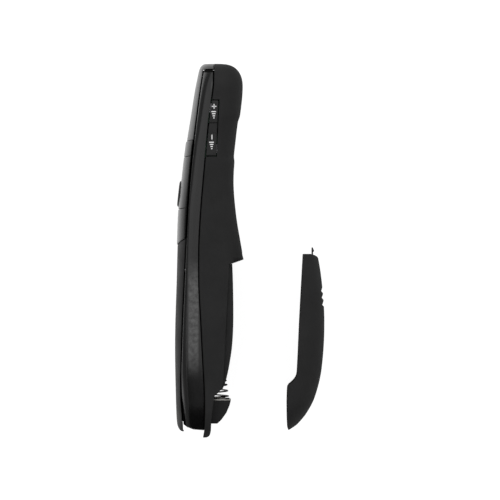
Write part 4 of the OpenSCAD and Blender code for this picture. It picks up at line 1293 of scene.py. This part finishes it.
def make_upper_panel():
    """Fixed panel above the keys, wrapped over the laser end, with the light's hole and a foot."""
    soft = edge_radius()
    low = KEY_Y[0] + KEY_GAP
    turn_y = FACE_TOP_Y + SEAM
    thick = PANEL_WALL
    rim_x = outline(FACE_TOP_Y, BAND_SEAM) + SEAM - RIM_GAP
    y_of = bowed(low, SEAM_SAG[0], low + SAG_FADE, 0)

    def section(y, taken=0.0, over=False):
        return face_section(y_of, y, lambda at: rim_x if over else outline(at, FACE_SEAM) - SEAM,
                            0, thick, taken, inner_y=min(y, TOP_Y - thick - END_GAP))

    sections = [section(low + d, off) for d, off in rounding(soft)[::-1]]
    sections += [section(y) for y in spread(low + soft, PANEL_TURN_Y, 40)[1:]]
    sections += [section(y) for y in spread(PANEL_TURN_Y, turn_y, 5)[1:]]
    sections += [section(y, over=True) for y in closing(turn_y, TOP_Y - END_GAP, 10)]
    sections += [drawn_in(sections[-1], rim_x, share) for share in TIP_SHARES]
    bm = lofted_wall(sections)
    foot = []
    for y in FOOT_Y:
        inner, outer = outline(y, FACE_SEAM) - FOOT_GAP, ring(y, thick / 2)[0]
        foot.append([Vector((x, y, MID_Z + z)) for x, z in
                     ((inner, 0), (inner, FOOT_HALF), (outer, FOOT_HALF), (outer, 0))])
    add_bar(bm, foot)
    mirror_half(bm)
    panel = finish_mesh(bm, "upper_face")
    carve(panel, face_drill("light cutter", LIGHT_HOLE_R, LIGHT_Y))
    return weigh_normals(panel)


def make_lower_panel():
    """Fixed panel below the keys, solid and cut back to a corner at its low end."""
    soft = edge_radius()
    low = FACE_BOTTOM_Y
    high = KEY_Y[3] - KEY_GAP
    y_of = bowed(high - SAG_FADE, 0, high, SEAM_SAG[3])
    hollow = low + 2 * PANEL_WALL

    def section(y, taken=0.0):
        s = max(0.0, 1 - (y - low) / FACE_CORNER[1])
        clip = outline(low, FRONT_LINE) + FACE_CORNER[0] * (1 - math.sqrt(1 - s * s))
        clip -= CORNER_EASE * (1 - s)
        return face_section(y_of, y, lambda at: outline(at, FACE_SEAM) - SEAM, 0, PANEL_WALL,
                            taken, solid=y < hollow - 1e-6, clip=clip if s > 0 else None)

    heights = [low + FACE_CORNER[1] * (1 - math.sin(a)) for a in spread(math.pi / 2, 0, 12)]
    heights = [y for y in heights if y < hollow - SKIM] + [hollow - HAIR]
    sections = [section(y) for y in heights + spread(hollow, high - soft, 74)]
    sections += [section(high - d, off) for d, off in rounding(soft)[1:]]
    bm = lofted_wall(sections)
    mirror_half(bm)
    return weigh_normals(finish_mesh(bm, "lower_face"))


# Battery cover ------------------------------------------------

RIDGE_STEPS = 14
COVER_END = 0.05
COVER_CURL = 9


def cover_edge(y):
    """Front edge of the cover's side, along the bay's edge or its own low one."""
    turn = BAY_BOTTOM_Y + SKIM
    low = outline(min(y, turn - 1), COVER_LOW_EDGE)
    high = outline(max(y, turn), BAY_EDGE) + COVER_GAP
    return low + (high - low) * min(1.0, max(0.0, y - turn + 1))


def ridge_cut(y):
    """Depth of the groove between the thumb ridges at y."""
    for start in RIDGE_Y:
        at = (y - start) / RIDGE_PITCH
        if RIDGE_START < at < RIDGE_DEEPEST:
            return RIDGE_DEPTH * (at - RIDGE_START) / (RIDGE_DEEPEST - RIDGE_START)
        if RIDGE_DEEPEST <= at < RIDGE_END:
            return RIDGE_DEPTH * (RIDGE_END - at) / (RIDGE_END - RIDGE_DEEPEST)
    return 0.0


def corner_fall(x, y):
    """How far the cover's top corner falls away towards the outside."""
    start = outline(COVER_TOP_Y, REAR_LINE) - COVER_CORNER_FROM
    fade = ramp((y + COVER_CORNER_FADE) / (COVER_TOP_Y + COVER_CORNER_FADE))
    return straight_value(x - start, COVER_CORNER) * fade


def cover_section(y, taken=0.0):
    """Half section of the cover: skin with the thumb ridges, edge, then back inside."""
    solid = y < BOTTOM_Y + COVER_WALL + COVER_END
    edge_x = cover_edge(y) + taken

    def skin(inset, soft, cut):
        _, rear, half, _, lobe = ring(y, inset)
        start = max(rear - lobe, edge_x + soft + SLIVER)
        end = back_angle(y, start, inset)
        flat = min(math.asin(min(1.0, (RIDGE_HALF / half)) ** (SQUARENESS / 2)), end * 0.5)
        steps = spread(0, flat, RIDGE_STEPS)
        steps += spread(flat + SLIVER, end, BACK_STEPS + CORNER_STEPS - RIDGE_STEPS - 1)
        points = []
        for i, angle in enumerate(steps):
            x = on_back(y, angle, inset).x
            point = on_back(y - corner_fall(x, y), angle, inset)
            if cut and i <= RIDGE_STEPS:
                point.x -= ridge_cut(y)
            points.append(point)
        return points + side_run(y, start, edge_x + soft, inset, SIDE_STEPS)

    _, rear, _, _, _ = ring(y, taken)
    soft = min(edge_radius(), max(SLIVER, (rear - edge_x) * MOST_SOFT))
    outer = skin(taken, soft, True) + rounded_off(y, edge_x, taken, soft, -1)
    _, rear, _, _, _ = ring(y, COVER_WALL)
    if solid or rear < edge_x + SKIM:
        return outer + rising_middle(outer, edge_x)[::-1]
    inner = skin(COVER_WALL, 0, False)
    inner += [on_side(y, edge_x, COVER_WALL - SKIM * k) for k in range(1, EDGE_STEPS + 1)]
    return outer + inner[::-1]


def make_cover():
    """Battery cover with its thumb ridges, lying beside the body."""
    soft = edge_radius()
    high = COVER_TOP_Y
    shares = (RIDGE_START, 0.2, RIDGE_DEEPEST, 0.55, 0.75, RIDGE_END)
    marks = sorted(y + RIDGE_PITCH * share for y in RIDGE_Y for share in shares)
    heights = [BOTTOM_Y + COVER_END + (COVER_CURL - COVER_END) * (1 - math.cos(t))
               for t in spread(0, math.pi / 2, 24)]
    heights += spread(BOTTOM_Y + COVER_CURL, marks[0], 56)[1:-1] + marks
    heights += spread(marks[-1], high - soft, 26)[1:]
    sections = [cover_section(y) for y in heights]
    sections += [cover_section(high - d, off) for d, off in rounding(soft)[1:]]
    bm = lofted_wall(sections)
    mirror_half(bm)
    return weigh_normals(finish_mesh(bm, "cover_shell", shift=COVER_SHIFT))


# Volume rocker ------------------------------------------------

# Lines between the rocker's pads, as (y, half width, share of the depth)
ROCKER_LINES = ((51.3, 0.25, 1.0), (47.1, 0.2, 0.6))
ROCKER_DIP = 0.12
ROCKER_DIP_RUN = 0.3
ROCKER_LINE = 0.35
ROCKER_CROWN = 0.35
ROCKER_SUNK = 0.03


def rocker_height(y, top):
    """Height of the rocker's face: two pads with a lower piece between them."""
    upper, lower = (line_y for line_y, *_ in ROCKER_LINES)
    between = ramp((y - lower) / ROCKER_DIP_RUN) * ramp((upper - y) / ROCKER_DIP_RUN)
    line = sum(share * max(0.0, 1 - abs(y - line_y) / half)
               for line_y, half, share in ROCKER_LINES)
    return top - ROCKER_DIP * between - ROCKER_LINE * line


def make_rocker():
    """Volume rocker whose sides follow the seam and the slot."""
    low, high = (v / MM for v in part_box("volume_rocker"))
    soft, top = ROCKER_CROWN, high.z - ROCKER_SUNK
    y0, y1 = low.y, high.y
    marks = [y + d for y, *_ in ROCKER_LINES for d in (-0.5, -0.25, -0.12, 0, 0.12, 0.25, 0.5)]
    inside = sorted(spread(y0 + soft, y1 - soft, 40)[1:-1] + marks)
    heights = [(y0 + d, off) for d, off in rounding(soft)[::-1]]
    heights += [(y, 0.0) for y in inside] + [(y1 - d, off) for d, off in rounding(soft)]
    sections = []
    for y, off in heights:
        left = outline(y, BAND_SEAM) + SEAM + off * 0.5
        right = smooth_value(y / STRETCH, ROCKER_BACK) - off * 0.5
        crest = rocker_height(y, top) - off
        flank = [low.z + (crest - soft - low.z) * k / 3 for k in range(3)]
        points = [(left, z) for z in flank]
        points += [(left + soft * (1 - math.cos(a)), crest - soft + soft * math.sin(a))
                   for a in spread(0, math.pi / 2, 4)]
        points += [(x, crest) for x in spread(left + soft, right - soft, 6)[1:-1]]
        points += [(right - soft * (1 - math.sin(a)), crest - soft + soft * math.cos(a))
                   for a in spread(0, math.pi / 2, 4)]
        points += [(right, z) for z in flank[::-1]]
        sections.append([Vector((x, y, z)) for x, z in points])
    bm = bmesh.new()
    add_bar(bm, sections)
    return weigh_normals(finish_mesh(bm, "rocker"))


# Marks on the pads: the (x, y) of the plus and the minus, their strokes, and the bars under them
PLUS_PLACE, MINUS_PLACE = (-0.3, 57.9), (-1.15, 45.6)
MARK_SIZE, MARK_STROKE = 1.9, 0.36
BARS, BAR_FROM, BAR_PITCH, BAR_LEAN = 4, 2.1, 0.85, 0.04
BAR_LEAST, BAR_GROWTH, BAR_STROKE = 0.5, 0.45, 0.4
INK_UNDER, INK_OVER = 0.02, 0.025


def make_marks():
    """Plus, minus and volume bars printed on the rocker's pads."""
    level_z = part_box("volume_rocker")[1].z / MM - ROCKER_SUNK
    low, high = level_z - INK_UNDER, level_z + INK_OVER
    bm = bmesh.new()

    def stroke(x, y, dx, dy):
        add_box(bm, (x - dx / 2, y - dy / 2, low), (x + dx / 2, y + dy / 2, high))

    for x, y in (PLUS_PLACE, MINUS_PLACE):
        if (x, y) == PLUS_PLACE:
            stroke(x, y, MARK_SIZE, MARK_STROKE)
        stroke(x, y, MARK_STROKE, MARK_SIZE)
        for k in range(BARS):
            stroke(x - MARK_STROKE / 2 + BAR_LEAN * k, y - BAR_FROM - BAR_PITCH * k,
                   BAR_LEAST + BAR_GROWTH * (BARS - 1 - k), BAR_STROKE)
    bmesh.ops.remove_doubles(bm, verts=bm.verts[:], dist=LEAST_EDGE)
    return finish_mesh(bm, "rocker_marks")


# Springs ------------------------------------------------------

SPRING_HEIGHT = 8.0
SPRING_BASE_R, SPRING_TIP_R = 3.85, 2.6
SPRING_TURNS = 4.5
WIRE = 0.6
WIRE_SIDES = 12
TURN_STEPS = 32
CELL_Z = 5.6


def add_coil(bm, base, axis_y):
    """Conical compression spring with closed ends, standing on base along +Y or -Y."""
    count = int(SPRING_TURNS * TURN_STEPS)
    sections = []
    for i in range(count + 1):
        t = i / count
        angle = math.tau * SPRING_TURNS * t
        radius = SPRING_BASE_R + (SPRING_TIP_R - SPRING_BASE_R) * t
        out = Vector((math.cos(angle), 0, axis_y * math.sin(angle)))
        climb = WIRE / 2 + (SPRING_HEIGHT - WIRE) * ramp(t)
        centre = base + out * radius + Vector((0, axis_y * climb, 0))
        sections.append([centre + (out * math.cos(s) + Vector((0, 1, 0)) * math.sin(s)) * WIRE / 2
                         for s in spread(0, math.tau, WIRE_SIDES)[:-1]])
    add_bar(bm, sections)


def make_springs():
    """One spring for each cell, at opposite ends of the bay."""
    low, high = (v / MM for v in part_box("battery_springs"))
    bm = bmesh.new()
    cell_x = (low.x + high.x) / 2
    for side, base_y, axis_y in ((1, low.y, 1), (-1, high.y, -1)):
        add_coil(bm, Vector((cell_x, base_y, MID_Z + side * CELL_Z)), axis_y)
    return finish_mesh(bm, "springs", sharp=60)


# ------------------------------------------------------------ settings

class PresenterShape(bpy.types.PropertyGroup):
    """Sizes that only the looks use."""
    edge_radius: FloatProperty(name="Edge radius", description="Rounding of the shells' edges",
                               default=0.00025, min=0.0001, max=0.0004, unit="LENGTH")
    soft_radius: FloatProperty(name="Small edge radius",
                               description="Rounding of small inner parts",
                               default=0.00012, min=0.00005, max=0.0003, unit="LENGTH")


class PresenterFinish(bpy.types.PropertyGroup):
    """Colours and surfaces."""
    shell_colour: FloatVectorProperty(name="Shell colour", description="Moulded black plastic",
                                      default=(0.0142, 0.0142, 0.0144), min=0, max=1,
                                      subtype="COLOR")
    gloss_colour: FloatVectorProperty(name="Gloss colour", description="Polished black plastic",
                                      default=(0.0035, 0.0035, 0.0036), min=0, max=1,
                                      subtype="COLOR")
    print_colour: FloatVectorProperty(name="Print colour", description="Ink of the rocker's marks",
                                      default=(0.95, 0.95, 0.95), min=0, max=1,
                                      subtype="COLOR")
    grain: FloatProperty(name="Grain", description="Size of the moulded texture",
                         default=0.00035, min=0.0001, max=0.001, unit="LENGTH")
    shell_roughness: FloatProperty(name="Shell roughness", description="How matt the shells are",
                                   default=0.68, min=0, max=1, subtype="FACTOR")
    gloss_roughness: FloatProperty(name="Gloss roughness", description="How matt the band is",
                                   default=0.22, min=0, max=1, subtype="FACTOR")


class PresenterStage(bpy.types.PropertyGroup):
    """Floor, lights and camera."""
    key_power: FloatProperty(name="Key light", description="Power of the large overhead light",
                             default=1.4, min=0, unit="POWER")
    side_power: FloatProperty(name="Side light", description="Power of the light beside the keys",
                              default=0.1, min=0, unit="POWER")
    world_strength: FloatProperty(name="Surroundings", description="Brightness of the white room",
                                  default=0.8, min=0, max=2, subtype="FACTOR")
    camera_height: FloatProperty(name="Camera height",
                                 description="Distance above the object's middle",
                                 default=3.5, min=0.3, unit="LENGTH")


# ------------------------------------------------------------ operators

class BuildRearShell(bpy.types.Operator):
    """Builds the rear shell with the battery bay's sides and lips"""
    bl_idname = "presenter.rear_shell"
    bl_label = "Rear shell"

    def execute(self, context):
        dress(make_rear_shell(), "body", "moulded shell", "rear_shell_black", "rear_housing")
        return {"FINISHED"}


class BuildFrontBand(bpy.types.Operator):
    """Builds the glossy band between the key face and the rear shell"""
    bl_idname = "presenter.front_band"
    bl_label = "Front band"

    def execute(self, context):
        band = dress(make_front_band(), "body", "polished band", "band_gloss", "front_housing")
        # The band's end under the upper panel and the seam backing are made near-black: painted
        # shade in the seams and under the panel
        paint_end_shade(band, "shade-painted black plastic")
        dress(make_seam_backing(), "body", "shade-painted black plastic", "band_gloss")
        return {"FINISHED"}


class BuildFace(bpy.types.Operator):
    """Builds the fixed panels of the key face"""
    bl_idname = "presenter.face"
    bl_label = "Face panels"

    def execute(self, context):
        upper = dress(make_upper_panel(), "body", "satin face", "panel_gloss", "upper_panel")
        lower = dress(make_lower_panel(), "body", "matt face", "panel_matte", "lower_panel")
        # The flanks that look along Z get darker copies: painted shade
        paint_flank_shade(upper, "satin shaded flank")
        paint_flank_shade(lower, "matt shaded flank")
        return {"FINISHED"}


class BuildKeys(bpy.types.Operator):
    """Builds the three long keys and the round pad"""
    bl_idname = "presenter.keys"
    bl_label = "Keys"

    def execute(self, context):
        make_keys()
        dress(make_pad(), "pad_key", "pad rubber", "pad_rubber", "pad_key")
        return {"FINISHED"}


class BuildRocker(bpy.types.Operator):
    """Builds the volume rocker and its printed marks"""
    bl_idname = "presenter.rocker"
    bl_label = "Volume rocker"

    def execute(self, context):
        dress(make_rocker(), "volume_rocker", "rocker plastic", "rocker_black", "volume_rocker")
        dress(make_marks(), "volume_rocker", "white print", "rocker_black")
        return {"FINISHED"}


class BuildCover(bpy.types.Operator):
    """Builds the battery cover with its thumb ridges and latch"""
    bl_idname = "presenter.cover"
    bl_label = "Battery cover"

    def execute(self, context):
        dress(make_cover(), "battery_cover", "moulded cover", "cover_black", "battery_cover")
        latch = softened("cover_latch", "latch", context.scene.presenter_shape.soft_radius / MM)
        dress(latch, "battery_cover", "inner plastic", "inner_plastic", "cover_latch")
        return {"FINISHED"}


class BuildSprings(bpy.types.Operator):
    """Winds the two battery springs"""
    bl_idname = "presenter.springs"
    bl_label = "Battery springs"

    def execute(self, context):
        dress(make_springs(), "body", "spring wire", "contact_nickel", "battery_springs")
        return {"FINISHED"}


class SoftenParts(bpy.types.Operator):
    """Rounds the edges of the tray, the slider and the receiver"""
    bl_idname = "presenter.soften_parts"
    bl_label = "Small parts"

    def execute(self, context):
        radius = context.scene.presenter_shape.soft_radius / MM
        for node, body, finish, slot in (
                ("battery_tray", "body", "inner plastic", "inner_plastic"),
                ("power_slider", "power_slider", "inner plastic", "inner_plastic"),
                ("receiver_body", "receiver", "moulded cover", "receiver_black")):
            dress(softened(node, node + "_soft", radius), body, finish, slot, node)
        return {"FINISHED"}


class DressParts(bpy.types.Operator):
    """Gives the parts inside their finishes"""
    bl_idname = "presenter.dress_parts"
    bl_label = "Inner parts"

    def execute(self, context):
        finishes = {
            "inner plastic": ["rocker_bracket", "laser_cradle", "receiver_bay"],
            "silicone rubber": ["laser_dome", "forward_dome", "back_dome", "pad_dome", "key_mat"],
            "blackened steel": ["rocker_pin"],
            "screw steel": ["housing_screws", "board_screws", "volume_switches",
                            "power_switch", "clock_crystal", "laser_diode"],
            "nickel plate": ["top_contacts", "receiver_plug"],
            "tarnished plate": ["bridge_contact"],
            "circuit board": ["main_board", "volume_board", "laser_board"],
            "chip epoxy": ["controller_chip", "radio_chip", "board_parts"],
            "light guide": ["status_led", "light_pipe"],
            "turned brass": ["laser_barrel"],
            "lens glass": ["laser_lens"],
            "window filter": ["laser_window"],
            "white insulator": ["receiver_contacts"],
        }
        for finish, names in finishes.items():
            for name in names:
                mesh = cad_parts[name].data
                mesh.materials.clear()
                mesh.materials.append(finish_of(finish))
        return {"FINISHED"}


STAGE_CENTRE = Vector((14.1, 0.32, MID_Z)) * MM
FLOOR_HALF = 6.0
FLOOR_Z = -0.0002
FLOOR_GREY = 0.3
FLOOR_GLOW = 0.9
KEY_LIGHT = ("key_light", (0.0, 0.62, 1.05), (1.0, 0.5))
SIDE_LIGHT = ("side_light", (-0.75, 0.05, 0.42), (0.35, 0.9))
SENSOR = 36.0
VIEW_WIDTH = 0.2015
VIEW_DEPTH = 20

# Name, tone, corner and both edges of the cards that only reflections see, in metres
REFLECTED_CARDS = (
    ("black velvet", 0.01, (-2.5, -1.5, 0.002), (5.0, 0, 0), (0, 1.36, 1.198)),
    ("left velvet", 0.32, (-1.3, -2.0, 0.42), (0, 4.0, 0), (1.215, 0, -0.4198)),
    ("grey card", 0.45, (0.004, -0.3, 0.0001), (0.396, 0, 0), (0, 0.6, 0)))


class BuildStage(bpy.types.Operator):
    """Builds the white floor, the cards, the surroundings, the lights and the camera"""
    bl_idname = "presenter.stage"
    bl_label = "Stage"

    def execute(self, context):
        scene = context.scene
        stage = scene.presenter_stage
        floor = make_floor()
        make_cards()
        scene.world = white_room(stage.world_strength)
        for (name, place, size), power in ((KEY_LIGHT, stage.key_power),
                                           (SIDE_LIGHT, stage.side_power)):
            scene.collection.objects.link(area_light(name, place, size, power))
        camera = camera_above(stage.camera_height)
        scene.collection.objects.link(camera)
        scene.camera = camera
        scene.view_settings.view_transform = "Standard"
        return {"FINISHED"}


def make_floor():
    """Wide floor, just under the part."""
    bm = bmesh.new()
    bmesh.ops.create_grid(bm, x_segments=1, y_segments=1, size=FLOOR_HALF)
    bmesh.ops.translate(bm, vec=(0, 0, FLOOR_Z), verts=bm.verts[:])
    floor = finish_mesh(bm, "floor")
    floor.data.materials.append(floor_material())
    return floor


def white_room(strength):
    """World that lights the part at one strength and is seen at full white."""
    world = bpy.data.worlds.new("white room")
    world.use_nodes = True
    tree = world.node_tree
    tree.nodes.clear()
    out = tree.nodes.new("ShaderNodeOutputWorld")
    room, seen = (tree.nodes.new("ShaderNodeBackground") for _ in range(2))
    room.inputs["Strength"].default_value = strength
    seen.inputs["Strength"].default_value = 1.0
    for node in (room, seen):
        node.inputs["Color"].default_value = (1, 1, 1, 1)
    mix = tree.nodes.new("ShaderNodeMixShader")
    tree.links.new(white_seen(tree), mix.inputs[0])
    tree.links.new(room.outputs[0], mix.inputs[1])
    tree.links.new(seen.outputs[0], mix.inputs[2])
    tree.links.new(mix.outputs[0], out.inputs["Surface"])
    return world


def area_light(name, place, size, power):
    """Rectangular lamp that looks at the middle of the stage."""
    data = bpy.data.lights.new(name, "AREA")
    data.shape = "RECTANGLE"
    data.size, data.size_y = size
    data.energy = power
    lamp = bpy.data.objects.new(name, data)
    lamp.location = place
    lamp.rotation_euler = (STAGE_CENTRE - Vector(place)).to_track_quat("-Z", "Y").to_euler()
    return lamp


def camera_above(height):
    """Camera that looks straight down; its lens keeps the view's width at any height."""
    data = bpy.data.cameras.new("camera")
    data.sensor_width = SENSOR
    data.lens = SENSOR * height / VIEW_WIDTH
    data.clip_end = VIEW_DEPTH
    camera = bpy.data.objects.new("camera", data)
    camera.location = STAGE_CENTRE + Vector((0, 0, height))
    return camera


def make_cards():
    """Dark cards towards the tail and beside the keys, and a grey one behind the back."""
    bm = bmesh.new()
    for k, (_, _, corner, along, up) in enumerate(REFLECTED_CARDS):
        corner, along, up = Vector(corner), Vector(along), Vector(up)
        places = (corner, corner + along, corner + along + up, corner + up)
        card = bmesh.ops.contextual_create(bm, geom=[bm.verts.new(place) for place in places])
        card["faces"][0].material_index = k
    cards = finish_mesh(bm, "reflected_cards")
    for name, tone, *_ in REFLECTED_CARDS:
        material = bpy.data.materials.new(name)
        material.use_nodes = True
        shader = material.node_tree.nodes["Principled BSDF"]
        shader.inputs["Base Color"].default_value = (*grey(tone), 1)
        shader.inputs["Specular IOR Level"].default_value = 0.0
        shader.inputs["Roughness"].default_value = 1.0
        cards.data.materials.append(material)
    cards.visible_camera = cards.visible_diffuse = False
    cards.visible_shadow = cards.visible_transmission = False
    return cards


def white_seen(tree):
    """1 where the camera sees something directly, mirrored or through glass."""
    path = tree.nodes.new("ShaderNodeLightPath")
    seen = path.outputs["Is Camera Ray"]
    for ray in ("Is Glossy Ray", "Is Transmission Ray"):
        either = tree.nodes.new("ShaderNodeMath")
        either.operation = "MAXIMUM"
        tree.links.new(seen, either.inputs[0])
        tree.links.new(path.outputs[ray], either.inputs[1])
        seen = either.outputs[0]
    return seen


def floor_material():
    """White floor that keeps a soft shadow and shows white to the camera."""
    material = bpy.data.materials.new("white floor")
    material.use_nodes = True
    tree = material.node_tree
    tree.nodes.clear()
    out = tree.nodes.new("ShaderNodeOutputMaterial")
    matt = tree.nodes.new("ShaderNodeBsdfDiffuse")
    matt.inputs["Color"].default_value = (*grey(FLOOR_GREY), 1)
    glow = tree.nodes.new("ShaderNodeEmission")
    share = tree.nodes.new("ShaderNodeMath")
    share.operation = "MULTIPLY"
    share.inputs[1].default_value = FLOOR_GLOW
    add = tree.nodes.new("ShaderNodeAddShader")
    tree.links.new(white_seen(tree), share.inputs[0])
    tree.links.new(share.outputs[0], glow.inputs["Strength"])
    tree.links.new(matt.outputs[0], add.inputs[0])
    tree.links.new(glow.outputs[0], add.inputs[1])
    tree.links.new(add.outputs[0], out.inputs["Surface"])
    return material


BUILDERS = (BuildRearShell, BuildFrontBand, BuildFace, BuildKeys, BuildRocker, BuildCover,
            BuildSprings, SoftenParts, DressParts, BuildStage)


class PresenterPanel(bpy.types.Panel):
    """Lists the builders and their settings"""
    bl_idname = "VIEW3D_PT_presenter"
    bl_label = "Presenter"
    bl_space_type = "VIEW_3D"
    bl_region_type = "UI"
    bl_category = "Presenter"

    def draw(self, context):
        for settings in ("presenter_shape", "presenter_finish", "presenter_stage"):
            group = getattr(context.scene, settings)
            box = self.layout.box()
            for key in group.__annotations__:
                box.prop(group, key)
        for builder in BUILDERS:
            self.layout.operator(builder.bl_idname)


CLASSES = (PresenterShape, PresenterFinish, PresenterStage, *BUILDERS, PresenterPanel)
SETTINGS = {"presenter_shape": PresenterShape, "presenter_finish": PresenterFinish,
            "presenter_stage": PresenterStage}


def register():
    for cls in CLASSES:
        bpy.utils.register_class(cls)
    for name, group in SETTINGS.items():
        setattr(bpy.types.Scene, name, PointerProperty(type=group))


def unregister():
    for name in SETTINGS:
        delattr(bpy.types.Scene, name)
    for cls in reversed(CLASSES):
        bpy.utils.unregister_class(cls)


def main():
    register()
    bpy.ops.presenter.rear_shell()
    bpy.ops.presenter.front_band()
    bpy.ops.presenter.face()
    bpy.ops.presenter.keys()
    bpy.ops.presenter.rocker()
    bpy.ops.presenter.cover()
    bpy.ops.presenter.springs()
    bpy.ops.presenter.soften_parts()
    bpy.ops.presenter.dress_parts()
    bpy.ops.presenter.stage()


if __name__ == "__main__":
    main()
